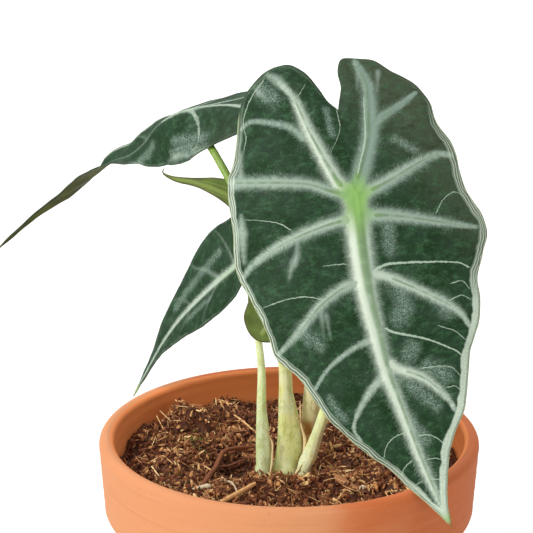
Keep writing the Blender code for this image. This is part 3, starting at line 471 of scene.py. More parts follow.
PETIOLES = (
    Petiole(
        name="front_leaf_petiole",
        leaf=FRONT_LEAF,
        foot=(0.0058, -0.0115),
        foot_radius=0.0027,
        route=(
            (0.0085, -0.0125, 0.1305), (0.0111, -0.0145, 0.141), (0.0137, -0.0155, 0.1502),
            (0.0174, -0.016, 0.1673), (0.0206, -0.015, 0.1876), (0.023, -0.0125, 0.2112),
            (0.0238, -0.012, 0.231),
        ),
        radii=(0.0027, 0.0024, 0.0021, 0.0019, 0.0018, 0.0017, 0.0016, 0.0015),
        sheath_angle=150.0,
        sheath_reach=0.0012,
        sheath_height=0.018,
    ),
    Petiole(
        name="high_leaf_petiole",
        leaf=HIGH_LEAF,
        foot=(-0.0012, -0.004),
        foot_radius=0.0056,
        route=(
            (-0.0008, -0.004, 0.1332), (-0.0013, -0.004, 0.1502), (-0.0017, -0.004, 0.1628),
            (-0.004, -0.0045, 0.1792), (-0.0096, -0.003, 0.2034), (-0.0158, -0.0005, 0.2237),
            (-0.0234, 0.0045, 0.238), (-0.0302, 0.014, 0.2475),
        ),
        radii=(0.0056, 0.004, 0.0027, 0.0022, 0.002, 0.0017, 0.0015, 0.0014, 0.0013),
        sheath_angle=-12.0,
        sheath_reach=0.0026,
        sheath_height=0.03,
    ),
    Petiole(
        name="low_leaf_petiole",
        leaf=LOW_LEAF,
        foot=(-0.0105, -0.0085),
        foot_radius=0.003,
        route=(
            (-0.0109, -0.007, 0.1345), (-0.0109, -0.003, 0.1498), (-0.0109, 0.001, 0.1608),
            (-0.0119, 0.0045, 0.1708), (-0.0134, 0.008, 0.1791), (-0.015, 0.0118, 0.1862),
        ),
        radii=(0.003, 0.0025, 0.002, 0.0016, 0.0013, 0.0012, 0.0012),
        sheath_angle=-8.0,
        sheath_reach=0.0014,
        sheath_height=0.024,
    ),
    Petiole(
        name="back_leaf_petiole",
        leaf=BACK_LEAF,
        foot=(0.0085, 0.0035),
        foot_radius=0.0025,
        route=(
            (0.0084, 0.0035, 0.129), (0.0086, 0.0035, 0.1346), (0.0091, 0.003, 0.1453),
            (0.0097, -0.0005, 0.1612), (0.0093, -0.005, 0.177), (0.0075, -0.0075, 0.192),
            (0.005, -0.0065, 0.204),
        ),
        radii=(0.0025, 0.0026, 0.003, 0.0034, 0.003, 0.0022, 0.0016, 0.0013),
        sheath_angle=160.0,
        sheath_reach=0.001,
        sheath_height=0.035,
    ),
)


def smooth_curve(points: tuple, steps: int) -> np.ndarray:
    """Return a smooth curve through the points.

    Args:
        points: The places that the curve passes, in order.
        steps: How many steps to take between each two of them.

    Returns:
        One row for each place on the curve.
    """
    knots = np.array(points, dtype=float)
    knots = np.vstack((2 * knots[0] - knots[1], knots, 2 * knots[-1] - knots[-2]))
    samples = []
    for index in range(1, len(knots) - 2):
        before, start, end, after = knots[index - 1:index + 3]
        first = max(np.linalg.norm(start - before) ** 0.5, 1e-9)
        middle = max(np.linalg.norm(end - start) ** 0.5, 1e-9)
        last = max(np.linalg.norm(after - end) ** 0.5, 1e-9)
        leave = (end - start) + middle * ((start - before) / first - (end - before) / (first + middle))
        arrive = (end - start) + middle * ((after - end) / last - (after - start) / (middle + last))
        for step in range(steps):
            t = step / steps
            samples.append(
                (2 * t**3 - 3 * t**2 + 1) * start
                + (t**3 - 2 * t**2 + t) * leave
                + (3 * t**2 - 2 * t**3) * end
                + (t**3 - t**2) * arrive
            )
    samples.append(knots[-2])
    return np.array(samples)


def lengths_along(points: np.ndarray) -> np.ndarray:
    """Return the length of the curve from its start to each of its points."""
    steps = np.linalg.norm(np.diff(points, axis=0), axis=1)
    return np.concatenate(([0.0], np.cumsum(steps)))


def read_along(at: np.ndarray, steps: np.ndarray, path: np.ndarray) -> np.ndarray:
    """Return a path's places where its steps pass these values."""
    return np.stack([np.interp(at, steps, column) for column in path.T], axis=-1)


def blend_rows(rows: tuple, b: np.ndarray) -> tuple[np.ndarray, np.ndarray]:
    """Read a table of (b, left, right) rows at every b."""
    table = np.array(rows)
    return np.interp(b, table[:, 0], table[:, 1]), np.interp(b, table[:, 0], table[:, 2])


def smooth_step(low: float, high: float, value: np.ndarray) -> np.ndarray:
    """Return 0 below low, 1 above high and a smooth rise between."""
    share = np.clip((value - low) / (high - low), 0.0, 1.0)
    return share * share * (3.0 - 2.0 * share)


@dataclass
class Nearest:
    """How flat places lie to a flat path: their gap, the length along it, the offset to the left and the side."""

    gap: np.ndarray
    along: np.ndarray
    left: np.ndarray
    side: np.ndarray


def nearest_on(path: np.ndarray, places: np.ndarray) -> Nearest:
    """Measure flat places, one row each, against a flat path."""
    count = len(places)
    near = Nearest(np.full(count, np.inf), np.zeros(count), np.zeros(count), np.ones(count))
    passed = 0.0
    for start, end in zip(path[:-1], path[1:]):
        step = end - start
        length = max(float(np.hypot(*step)), 1e-9)
        beside = places - start
        share = np.clip((beside @ step) / length**2, 0.0, 1.0)
        offset = share[:, None] * step - beside
        gap = np.hypot(offset[:, 0], offset[:, 1])
        closer = gap < near.gap
        near.gap = np.where(closer, gap, near.gap)
        near.left = np.where(closer, offset[:, 0], near.left)
        near.along = np.where(closer, passed + share * length, near.along)
        turn = np.where(step[0] * beside[:, 1] > step[1] * beside[:, 0], 1.0, -1.0)
        near.side = np.where(closer, turn, near.side)
        passed += length
    return near


def inside_of(ring: np.ndarray, places: np.ndarray) -> np.ndarray:
    """Tell which flat places, one row each, lie inside a closed ring."""
    inside = np.zeros(len(places), bool)
    for start, end in zip(ring[:-1], ring[1:]):
        if start[1] != end[1]:
            crossing = start[0] + (places[:, 1] - start[1]) * (end[0] - start[0]) / (end[1] - start[1])
            inside ^= ((start[1] > places[:, 1]) != (end[1] > places[:, 1])) & (places[:, 0] < crossing)
    return inside


def only(item: bpy.types.Object) -> None:
    """Select this object alone and make it active."""
    bpy.ops.object.select_all(action="DESELECT")
    item.select_set(True)
    bpy.context.view_layer.objects.active = item


def shape_points(item: bpy.types.Object, places: np.ndarray) -> None:
    """Put an object's vertices at these places, one row each."""
    item.data.vertices.foreach_set("co", np.asarray(places, np.float32).ravel())
    item.data.update()


def points_of(item: bpy.types.Object) -> np.ndarray:
    """Return an object's vertices, one row each."""
    places = np.zeros(len(item.data.vertices) * 3, np.float32)
    item.data.vertices.foreach_get("co", places)
    return places.reshape(-1, 3).astype(float)


def note(item: bpy.types.Object, name: str, values: np.ndarray) -> None:
    """Store a number or a vector for each vertex under a name that a material reads."""
    values = np.asarray(values, np.float32)
    kind, field = ("FLOAT", "value") if values.ndim == 1 else ("FLOAT_VECTOR", "vector")
    item.data.attributes.new(name, kind, "POINT").data.foreach_set(field, values.ravel())


def named(name: str) -> bpy.types.Object:
    """Name the object that was just added, and its data."""
    item = bpy.context.object
    item.name = item.data.name = name
    return item


def cut_upright(tube: bpy.types.Object, cuts: int) -> None:
    """Divide a tube's upright edges into equal lengths."""
    only(tube)
    bpy.ops.object.mode_set(mode="EDIT")
    bpy.ops.mesh.select_mode(type="EDGE")
    bpy.ops.mesh.select_all(action="DESELECT")
    bpy.ops.object.mode_set(mode="OBJECT")
    for edge in tube.data.edges:
        start, end = (tube.data.vertices[i].co for i in edge.vertices)
        edge.select = abs(start.z - end.z) > 0.5
    bpy.ops.object.mode_set(mode="EDIT")
    bpy.ops.mesh.subdivide(number_cuts=cuts)
    bpy.ops.mesh.select_mode(type="VERT")
    bpy.ops.object.mode_set(mode="OBJECT")


def hand_over(item: bpy.types.Object, slot: str, *nodes: str) -> None:
    """Let a finished piece ride on the body and stand for its nodes, which are hidden."""
    only(item)
    bpy.ops.object.transform_apply(location=True, rotation=True, scale=True)
    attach(item, BODY)
    if nodes:
        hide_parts(*nodes)
    LOG.info("%s: %d triangles", item.name, len(item.data.loops) - 2 * len(item.data.polygons))


class BladeSheet:
    """The curved sheet that a leaf's flat measures are laid on."""

    def __init__(self, leaf: Leaf) -> None:
        """Measure the spine of a leaf."""
        self.leaf = leaf
        self.points = smooth_curve(leaf.spine, SPINE_STEPS)
        lengths = lengths_along(self.points)
        self.b = lengths - lengths[leaf.heart * SPINE_STEPS]
        tangents = np.gradient(self.points, self.b, axis=0)
        self.tangents = tangents / np.linalg.norm(tangents, axis=1)[:, None]

    def frame_at(self, b: np.ndarray) -> tuple[np.ndarray, np.ndarray, np.ndarray]:
        """Return the spine's points with the side and upper directions there."""
        point = read_along(b, self.b, self.points)
        tangent = read_along(b, self.b, self.tangents)
        past = np.where(b > self.b[-1], b - self.b[-1], np.minimum(b - self.b[0], 0.0))
        point = point + tangent * past[:, None]
        tangent /= np.linalg.norm(tangent, axis=1)[:, None]
        side = np.array(self.leaf.side)
        side = side - tangent * (tangent @ side)[:, None]
        side /= np.linalg.norm(side, axis=1)[:, None]
        return point, side, np.cross(tangent, side)

    def at(self, a: np.ndarray, b: np.ndarray, lift: np.ndarray) -> np.ndarray:
        """Place flat measures on the sheet.

        Args:
            a: How far across the blade, in metres, negative at its left.
            b: How far along the midrib from the heart, in metres.
            lift: How far off the smooth sheet, to the upper side.

        Returns:
            The places in the scene, one row each.
        """
        point, side, upper = self.frame_at(b)
        width = np.abs(a)
        bend_left, bend_right = blend_rows(self.leaf.bend, b)
        curl_left, curl_right = blend_rows(self.leaf.curl, b)
        bend = np.radians(np.where(a < 0, bend_left, bend_right))
        curl = np.radians(np.where(a < 0, curl_left, curl_right)) / CURL_WIDTH
        curl = np.where(np.abs(curl) < 0.001, 0.001, curl)
        across = (np.sin(bend + curl * width) - np.sin(bend)) / curl
        rise = (np.cos(bend) - np.cos(bend + curl * width)) / curl
        ripple = np.sin(math.tau * b / RIPPLE_LENGTH + np.where(a < 0, RIPPLE_SHIFT, 0.0))
        rise = rise + lift + self.leaf.wave * (width / CURL_WIDTH) ** 2 * ripple
        return point + side * (np.sign(a) * across)[:, None] + upper * rise[:, None]


@dataclass
class VeinFields:
    """What the veins say at each place of a blade, in millimetres."""

    depth: np.ndarray
    core: np.ndarray
    lit: np.ndarray
    girth: np.ndarray
    along: np.ndarray
    line: np.ndarray
    slim: np.ndarray
    smear: np.ndarray
    cloud: np.ndarray
    near: np.ndarray


@dataclass
class Blade:
    """A leaf's blade: a fine net on its curved sheet, with felted veins, a ribbed underside and a wavy margin."""

    leaf: Leaf
    veins: tuple
    hems: tuple
    mesh: float
    thickness: float = 0.0005
    rib_height: float = 0.0019
    margin_ripple: float = 0.00045
    margin_reach: float = 0.0045
    margin_length: float = 0.0085
    wobble: float = 0.4
    wobble_length: float = 6.0
    web: float = 0.45
    fresh: float = 0.3

    def outline(self) -> tuple[np.ndarray, float]:
        """Return the outline in millimetres, down the left and up the right, and the left half's length."""
        left, right = (smooth_curve(half, OUTLINE_STEPS) / MM for half in (self.leaf.left, self.leaf.right))
        ring = np.vstack((left, right[::-1][1:]))
        lengths = lengths_along(ring)
        middle = lengths_along(left)[-1]
        places = np.linspace(0.0, lengths[-1], int(lengths[-1] / self.mesh) + 1)
        places[np.argmin(np.abs(places - middle))] = middle
        ring = read_along(places, lengths, ring)
        normals = np.gradient(ring, axis=0)[:, ::-1] * (1.0, -1.0)
        normals /= np.maximum(np.hypot(*normals.T), 1e-9)[:, None]
        sway = [noise.noise(Vector((place / self.wobble_length, self.mesh, 0.0))) for place in places]
        ends = np.minimum(np.minimum(places, lengths[-1] - places), np.abs(places - middle))
        sway = np.array(sway) * self.wobble * smooth_step(0.0, 12.0, ends)
        return ring + normals * sway[:, None], float(middle)

    def net(self, ring: np.ndarray) -> tuple[np.ndarray, list]:
        """Fill the outline with an even net of triangles that keeps the outline and the midrib.

        Args:
            ring: The outline, ending where it starts.

        Returns:
            The net's flat places in millimetres, one row each, and its triangles.
        """
        low, high = ring.min(axis=0), ring.max(axis=0)
        a, b = np.meshgrid(np.arange(low[0], high[0], self.mesh), np.arange(low[1], high[1], self.mesh * NET_ROW_STEP))
        a[::2] += self.mesh / 2
        inner = np.column_stack((a.ravel(), b.ravel()))
        inner = inner[inside_of(ring, inner)]
        gap = self.mesh * NET_GAP
        inner = inner[(nearest_on(ring, inner).gap > gap) & (np.abs(inner[:, 0]) > gap)]
        notch, tip = ring[0][1], ring[np.argmax(ring[:, 1])][1]
        spine = np.arange(notch + self.mesh, tip - self.mesh * 0.5, self.mesh)
        rim = len(ring) - 1
        places = np.vstack((ring[:-1], np.column_stack((np.zeros(len(spine)), spine)), inner))
        edges = [(index, (index + 1) % rim) for index in range(rim)]
        chain = [0, *range(rim, rim + len(spine)), int(np.argmax(ring[:-1, 1]))]
        edges += list(zip(chain[:-1], chain[1:]))
        made = geometry.delaunay_2d_cdt([Vector(place) for place in places], edges, [], 1, 1e-5, False)
        places, faces = np.array([tuple(place) for place in made[0]]), np.array(made[2])
        return places, faces[inside_of(ring, places[faces].mean(axis=1)), ::-1].tolist()

    def vein_fields(self, flat: np.ndarray) -> VeinFields:
        """Measure every place of the net against every vein."""
        count = len(flat)
        fields = VeinFields(
            depth=np.full(count, -FAR), core=np.full(count, FAR), lit=np.zeros(count), girth=np.ones(count),
            along=np.zeros(count), line=np.full(count, FAR), slim=np.zeros(count), smear=np.full(count, -FAR),
            cloud=np.zeros(count), near=np.full(count, FAR),
        )
        total = np.zeros(count)
        for order, vein in enumerate(self.veins):
            path = smooth_curve(vein.points, 6) if len(vein.points) > 2 else np.array(vein.points, float)
            near = nearest_on(path, flat)
            length = lengths_along(path)[-1]
            width = np.interp(near.along, np.linspace(0.0, length, len(vein.widths)), vein.widths)
            depth = width - near.gap
            along = near.along + order * PATTERN_STEP
            if vein.kind is VeinKind.LINE:
                closer = near.gap < np.abs(fields.line)
                fields.line = np.where(closer, near.gap * near.side, fields.line)
                fields.slim = np.where(closer, width * (1.0 - smooth_step(0.8, 1.4, near.gap)), fields.slim)
                continue
            # A cloud marks where painted sheen lies.
            if vein.kind is VeinKind.CLOUD:
                fields.cloud = np.maximum(fields.cloud, 1.0 - near.gap / (1.5 * width))
                continue
            if vein.kind is VeinKind.SMEAR:
                fields.smear = np.maximum(fields.smear, depth)
                fields.along = np.where((depth > -1.0) & (fields.depth < -1.0), along, fields.along)
                continue
            total = total + np.exp(np.clip(depth / self.web, -30.0, 12.0))
            closer = depth > fields.depth
            fields.along = np.where(closer, along, fields.along)
            fields.girth = np.where(closer, width, fields.girth)
            fields.depth = np.where(closer, depth, fields.depth)
            # Painted light: each side of the band is painted as bright as its light value, most on the side that faces
            # the key light.
            lit_left, lit_right = vein.painted_light_sides
            lit = lit_right + (lit_left - lit_right) * smooth_step(-1.8, 2.6, near.left)
            fields.lit = np.where(closer, lit, fields.lit)
            lean = np.interp(near.along, np.linspace(0.0, length, len(vein.lean)), vein.lean)
            core = np.abs(near.gap * np.sign(near.left) + lean * width)
            core += 3.0 * (1.0 - smooth_step(3.0, 7.0, near.along)) * (order > 0)
            fields.core = np.minimum(fields.core, np.where(depth > -3.0, core, FAR))
            fields.near = np.minimum(fields.near, near.gap)
        webbed = self.web * np.log(np.maximum(total, 1e-12))
        fields.depth = np.clip(np.where(fields.depth > -4.0, webbed, fields.depth), -8.0, 6.0)
        return fields

    def lift(self, fields: VeinFields, edge: np.ndarray, share: np.ndarray) -> np.ndarray:
        """Return how far the upper face stands off the smooth sheet: quilted between veins, rippled at the margin."""
        quilt = 1.0 - np.exp(-fields.near / 5.0)
        ridge = 0.16 * fields.girth * np.exp(-(fields.core / np.maximum(0.42 * fields.girth, 0.35)) ** 2)
        ripple = np.array([noise.noise(Vector((place / self.margin_length, 3.0, 0.0))) for place in share])
        at_edge = np.exp(-edge * MM / self.margin_reach)
        swell = self.leaf.puff * quilt * smooth_step(0.0, 4.0, edge)
        return swell + ridge * MM * 0.35 + ripple * self.margin_ripple * at_edge

    def build(self, upper: bpy.types.Material, under: bpy.types.Material) -> bpy.types.Object:
        """Model the blade and store what its finish reads.

        Args:
            upper: The finish of its upper face.
            under: The finish of its underside and its thin edge.

        Returns:
            The finished blade.
        """
        ring, middle = self.outline()
        flat, faces = self.net(ring)
        fields = self.vein_fields(flat)
        rim = nearest_on(ring, flat)
        length = lengths_along(ring)[-1]
        share = np.where(rim.along < middle, rim.along / middle, (length - rim.along) / (length - middle))
        lift = self.lift(fields, rim.gap, share * 0.2 + np.where(rim.along < middle, -1.0, 1.0))
        places = BladeSheet(self.leaf).at(flat[:, 0] * MM, flat[:, 1] * MM, lift)
        mesh = bpy.data.meshes.new(f"{self.leaf.name}_leafy")
        mesh.from_pydata(places.tolist(), [], faces)
        blade = bpy.data.objects.new(mesh.name, mesh)
        bpy.context.collection.objects.link(blade)
        mesh.materials.append(upper)
        mesh.materials.append(under)
        self.take_notes(blade, flat, share, fields, rim, rim.along < middle)
        self.thicken(blade, fields, rim.gap)
        return blade

    def take_notes(
        self, blade: bpy.types.Object, flat: np.ndarray, share: np.ndarray, fields: VeinFields, rim: Nearest,
        on_left: np.ndarray,
    ) -> None:
        """Store the measures that the blade's finish reads.

        Args:
            blade: The blade's upper face.
            flat: Its flat places in millimetres, one row each.
            share: Where the nearest margin lies, from 0 at the notch to 1 at the tip.
            fields: What the veins say at each place.
            rim: How each place lies to the margin.
            on_left: Which places are nearest to the left half of the margin.
        """
        measures = vars(fields) | {
            "flat": np.column_stack((flat, share)), "line": np.clip(fields.line, -4.0, 4.0),
            "smear": np.clip(fields.smear, -4.0, 4.0), "near": np.clip(fields.near, 0.0, 12.0), "edge": rim.gap,
            "tip": np.full(len(flat), flat[:, 1].max()), "fresh": np.full(len(flat), self.fresh),
        }
        for field in ("pale", "width", "lines"):
            left, right = (
                np.interp(share, [hem.share for hem in hems], [getattr(hem, field) for hem in hems])
                for hems in self.hems
            )
            measures[f"hem_{field}"] = np.where(on_left, left, right)
        for name, values in measures.items():
            note(blade, name, values)

    def thicken(self, blade: bpy.types.Object, fields: VeinFields, edge: np.ndarray) -> None:
        """Give the sheet its thickness downwards, thicker where ribs stand out underneath."""
        rib = np.exp(-(fields.core / np.maximum(0.5 * fields.girth, 0.5)) ** 2)
        rib = rib * np.clip(fields.girth / 3.2, 0.0, 1.0) * smooth_step(0.0, 3.0, edge)
        group = blade.vertex_groups.new(name="rib")
        levels = np.rint(rib * RIB_LEVELS).astype(int)
        for level in range(1, RIB_LEVELS + 1):
            chosen = np.flatnonzero(levels == level).tolist()
            if chosen:
                group.add(chosen, level / RIB_LEVELS, "REPLACE")
        only(blade)
        solid = blade.modifiers.new("Thickness", "SOLIDIFY")
        solid.thickness = self.thickness + self.rib_height
        solid.offset = -1.0
        solid.vertex_group = "rib"
        solid.thickness_vertex_group = self.thickness / solid.thickness
        solid.material_offset = 1
        bpy.ops.object.modifier_apply(modifier=solid.name)
        bpy.ops.object.shade_smooth()


@dataclass
class Stalk:
    """A leaf stalk: a ribbed round tube along its route, with the papery edge of its sheath low down."""

    petiole: Petiole
    rib_count: int = 9
    rib_relief: float = 0.00006
    unevenness: float = 0.0001

    def route(self) -> np.ndarray:
        """Return the stalk's centre line, from inside the soil into the blade's underside."""
        petiole = self.petiole
        point, _, upper = BladeSheet(petiole.leaf).frame_at(np.zeros(1))
        droop = max(0.0, -min(float(angle[0]) for angle in blend_rows(petiole.leaf.bend, np.zeros(1))))
        room = VEIN_THICKNESS + GAP + petiole.radii[-1] * math.tan(math.radians(droop)) / 2.0
        under = point[0] - upper[0] * room
        approach = under - upper[0] * PETIOLE_APPROACH
        x, y = petiole.foot
        bottom = SOIL_LEVEL - STEM_HOLE_DEPTH + GAP
        start = ((x, y, bottom), (x, y, SOIL_LEVEL + SHEATH_START))
        curve = smooth_curve(start + petiole.route + (tuple(approach), tuple(under)), SPINE_STEPS)
        return np.vstack((curve, curve[-1] + upper[0] * (room - 0.3 * VEIN_THICKNESS)))

    def turn_frames(self, points: np.ndarray) -> list:
        """Return directions across the curve that turn with it as little as they can."""
        tangents = np.gradient(points, axis=0)
        tangents /= np.linalg.norm(tangents, axis=1)[:, None]
        across = np.array((1.0, 0.0, 0.0))
        frames = []
        for tangent in tangents:
            across = across - tangent * (across @ tangent)
            across /= np.linalg.norm(across)
            frames.append((across, np.cross(tangent, across)))
        return frames

    def radius(self, height: float, share: float) -> float:
        """Return the plain radius at a height along the stalk: even in its hole, then as its radii say."""
        if height < STEM_HOLE_DEPTH + SHEATH_START:
            return self.petiole.foot_radius
        return float(np.interp(share, np.linspace(0.0, 1.0, len(self.petiole.radii)), self.petiole.radii))

    def sheath_offset(self, angle: float, height: float) -> float:
        """Return how far the sheath's edge stands out of the round stalk."""
        above = height - STEM_HOLE_DEPTH - SHEATH_START
        if above <= 0.0 or above >= self.petiole.sheath_height:
            return 0.0
        turn = angle - math.radians(self.petiole.sheath_angle)
        turn = (turn + math.pi) % (2.0 * math.pi) - math.pi
        swell = math.sin(math.pi * (above / self.petiole.sheath_height) ** 0.6)
        return self.petiole.sheath_reach * swell * math.exp(-((turn / SHEATH_SPREAD) ** 2))

    def build(self) -> bpy.types.Object:
        """Model the stalk and note how high each place is and how near the sheath's edge."""
        route = self.route()
        lengths = lengths_along(route)
        frames = self.turn_frames(route)
        bpy.ops.mesh.primitive_cylinder_add(vertices=STALK_SIDES, radius=1.0, depth=1.0)
        stalk = named(f"{self.petiole.name}_ribbed")
        cut_upright(stalk, STALK_CUTS)
        heights, papers, places = [], [], []
        for x, y, z in points_of(stalk):
            share = z + 0.5
            height = share * lengths[-1]
            angle = math.atan2(y, x)
            index = int(np.argmin(np.abs(lengths - height)))
            centre = read_along(height, lengths, route)
            offset = self.sheath_offset(angle, height)
            ribs = self.rib_relief * math.sin(self.rib_count * angle + 3.0 * share)
            uneven = self.unevenness * noise.noise(Vector((height * 60.0, math.cos(angle), math.sin(angle))))
            radius = self.radius(height, share) + offset + ribs + uneven
            across, along = frames[index]
            places.append(centre + (across * math.cos(angle) + along * math.sin(angle)) * radius)
            heights.append((height - STEM_HOLE_DEPTH) / MM)
            papers.append(offset / max(self.petiole.sheath_reach, 1e-6))
        shape_points(stalk, np.array(places))
        note(stalk, "height", np.array(heights))
        note(stalk, "paper", np.array(papers))
        bpy.ops.object.shade_smooth_by_angle(angle=math.radians(50.0))
        return stalk


@dataclass(frozen=True)
class Paper:
    """The thin dry edge of a sheath: a ribbon along its places, in millimetres, that stands out one way."""

    name: str
    points: tuple
    widths: tuple
    out: tuple
    thickness: float = 0.00016

    def build(self) -> bpy.types.Object:
        """Model the ribbon from a grid, waved along its free edge."""
        path = smooth_curve(self.points, 10) * MM
        rows = len(path)
        bpy.ops.mesh.primitive_grid_add(x_subdivisions=4, y_subdivisions=rows - 1, size=1.0)
        ribbon = named(self.name)
        places = points_of(ribbon)
        rim, along = places[:, 0] + 0.5, places[:, 1] + 0.5
        middle = read_along(along, np.linspace(0.0, 1.0, rows), path)
        width = np.interp(along, np.linspace(0.0, 1.0, len(self.widths)), self.widths) * MM
        wave = 0.25 * width * rim * np.sin(along * 17.0 + 1.0)
        out = np.array((*self.out, 0.0))
        turned = np.array((-self.out[1], self.out[0], 0.0))
        shape_points(ribbon, middle + out * (width * (rim - 0.35))[:, None] + turned * wave[:, None])
        note(ribbon, "rim", rim)
        only(ribbon)
        solid = ribbon.modifiers.new("Thickness", "SOLIDIFY")
        solid.thickness = self.thickness
        bpy.ops.object.modifier_apply(modifier=solid.name)
        bpy.ops.object.shade_smooth()
        return ribbon


def arc_points(centre_r: float, centre_z: float, radius: float, start: float, end: float, count: int) -> list:
    """Return points of a round corner of a turned profile, by angles in degrees."""
    angles = np.radians(np.linspace(start, end, count))
    return [(centre_r + radius * math.cos(t), centre_z + radius * math.sin(t)) for t in angles]


def run_points(start: tuple, end: tuple, count: int) -> list:
    """Return evenly spaced points from start to before end."""
    return [
        (start[0] + (end[0] - start[0]) * i / count, start[1] + (end[1] - start[1]) * i / count)
        for i in range(count)
    ]


def inner_radius(z: float) -> float:
    """Return the radius of the pot's inner wall at a height."""
    floor_radius = BASE_RADIUS - WALL_THICKNESS + BASE_BEVEL
    rows = (
        (FLOOR_THICKNESS + FLOOR_ROUND, floor_radius),
        (POT_HEIGHT - COLLAR_HEIGHT, SHOULDER_RADIUS - WALL_THICKNESS),
        (COLLAR_HOLLOW_HEIGHT, COLLAR_HOLLOW_RADIUS),
        (POT_HEIGHT - RIM_WIDTH / 2.0, RIM_RADIUS - RIM_WIDTH),
    )
    return float(np.interp(z, [row[0] for row in rows], [row[1] for row in rows]))


@dataclass
class Pot:
    """The turned clay pot: a rounded lip, a collar, a tapering body and three drain holes."""

    sides: int = POT_SIDES
    seed_radius: float = 0.002
    wall_rings: int = 22
    turning_depth: float = 0.00007
    turning_length: float = 0.0052

    def profile(self) -> list:
        """Return the half section, from the middle of the floor up inside, over the lip and down outside."""
        lip = RIM_WIDTH / 2.0
        collar_bottom = POT_HEIGHT - COLLAR_HEIGHT
        round_r = COLLAR_FOOT_RADIUS - COLLAR_FOOT_ROUND
        round_z = collar_bottom + COLLAR_FOOT_ROUND + COLLAR_FOOT_UNDERCUT
        floor_radius = BASE_RADIUS - WALL_THICKNESS + BASE_BEVEL
        wall_top = POT_HEIGHT - lip
        inside = run_points((self.seed_radius, FLOOR_THICKNESS), (floor_radius - FLOOR_ROUND, FLOOR_THICKNESS), 6)
        inside += arc_points(floor_radius - FLOOR_ROUND, FLOOR_THICKNESS + FLOOR_ROUND, FLOOR_ROUND, -90.0, 0.0, 5)
        inside += run_points(inside[-1], (SHOULDER_RADIUS - WALL_THICKNESS, collar_bottom), 8)[1:]
        inside += run_points((SHOULDER_RADIUS - WALL_THICKNESS, collar_bottom),
                             (COLLAR_HOLLOW_RADIUS, COLLAR_HOLLOW_HEIGHT), 4)
        inside += run_points((COLLAR_HOLLOW_RADIUS, COLLAR_HOLLOW_HEIGHT),
                             (RIM_RADIUS - RIM_WIDTH, wall_top), self.wall_rings)
        over = arc_points(RIM_RADIUS - lip, wall_top, lip, 180.0, 0.0, 17)
        foot = arc_points(round_r, round_z, COLLAR_FOOT_ROUND, -2.0, -78.0, 9)
        outer = run_points(over[-1], foot[0], self.wall_rings)[1:] + foot
        outer += run_points((SHOULDER_RADIUS, collar_bottom - COLLAR_FOOT_UNDERCUT),
                            (BASE_RADIUS + BASE_BEVEL, BODY_FOOT_HEIGHT), self.wall_rings)
        outer += [(BASE_RADIUS + BASE_BEVEL, BODY_FOOT_HEIGHT), (BASE_RADIUS, BASE_BEVEL / 2.0)]
        outer += [(BASE_RADIUS - BASE_BEVEL, 0.0), (self.seed_radius, 0.0)]
        return inside + over + outer

    def build(self) -> bpy.types.Object:
        """Turn the pot ring by ring, close its floor, cut the drain holes and let the hand of the maker show."""
        profile = self.profile()
        first_r, first_z = profile[0]
        bpy.ops.mesh.primitive_circle_add(vertices=self.sides, radius=first_r, location=(0.0, 0.0, first_z))
        pot = named("clay_pot")
        bpy.ops.object.transform_apply(location=True, rotation=False, scale=False)
        bpy.ops.object.mode_set(mode="EDIT")
        bpy.ops.mesh.select_all(action="SELECT")
        bpy.ops.mesh.edge_face_add()
        bpy.ops.mesh.select_all(action="SELECT")
        for (r, z), (next_r, next_z) in zip(profile[:-1], profile[1:]):
            bpy.ops.mesh.extrude_edges_move(TRANSFORM_OT_translate={"value": (0.0, 0.0, next_z - z)})
            grow = next_r / r
            bpy.ops.transform.resize(value=(grow, grow, 1.0), center_override=(0.0, 0.0, next_z))
        bpy.ops.mesh.edge_face_add()
        bpy.ops.mesh.select_all(action="SELECT")
        bpy.ops.mesh.normals_make_consistent(inside=False)
        bpy.ops.object.mode_set(mode="OBJECT")
        self.drill(pot)
        self.mark_by_hand(pot)
        only(pot)
        bpy.ops.object.shade_smooth_by_angle(angle=math.radians(38.0))
        return pot

    def drill(self, pot: bpy.types.Object) -> None:
        """Cut the drain holes through the floor."""
        middle = FLOOR_THICKNESS / 2.0
        for index in range(DRAIN_HOLE_COUNT):
            turn = math.tau * (index + 0.5) / DRAIN_HOLE_COUNT
            place = (DRAIN_RING_RADIUS * math.cos(turn), DRAIN_RING_RADIUS * math.sin(turn), middle)
            bpy.ops.mesh.primitive_cylinder_add(
                vertices=32, radius=DRAIN_HOLE_RADIUS, depth=4.0 * middle, location=place)
            drill = bpy.context.object
            only(pot)
            boolean = pot.modifiers.new("Drain", "BOOLEAN")
            boolean.operation = "DIFFERENCE"
            boolean.solver = "EXACT"
            boolean.object = drill
            bpy.ops.object.modifier_apply(modifier=boolean.name)
            bpy.data.objects.remove(drill, do_unlink=True)

    def mark_by_hand(self, pot: bpy.types.Object) -> None:
        """Give the walls faint uneven turning rings."""
        places = points_of(pot)
        radii = np.hypot(places[:, 0], places[:, 1])
        for row, radius in zip(places, radii):
            if radius < BASE_RADIUS * 0.9 or row[2] < BASE_BEVEL:
                continue
            sway = noise.noise(Vector((row[0] * 9.0, row[1] * 9.0, row[2] * 60.0)))
            ring = math.sin(row[2] * math.tau / self.turning_length + 1.7 * sway)
            row[:2] *= 1.0 + self.turning_depth * (ring + 1.2 * sway - 1.2) / radius
        shape_points(pot, places)


def off_stems(x: float, y: float) -> float:
    """Return how far a place in the soil lies from the nearest stalk's foot."""
    return min(math.hypot(x - p.foot[0], y - p.foot[1]) - p.foot_radius for p in PETIOLES)


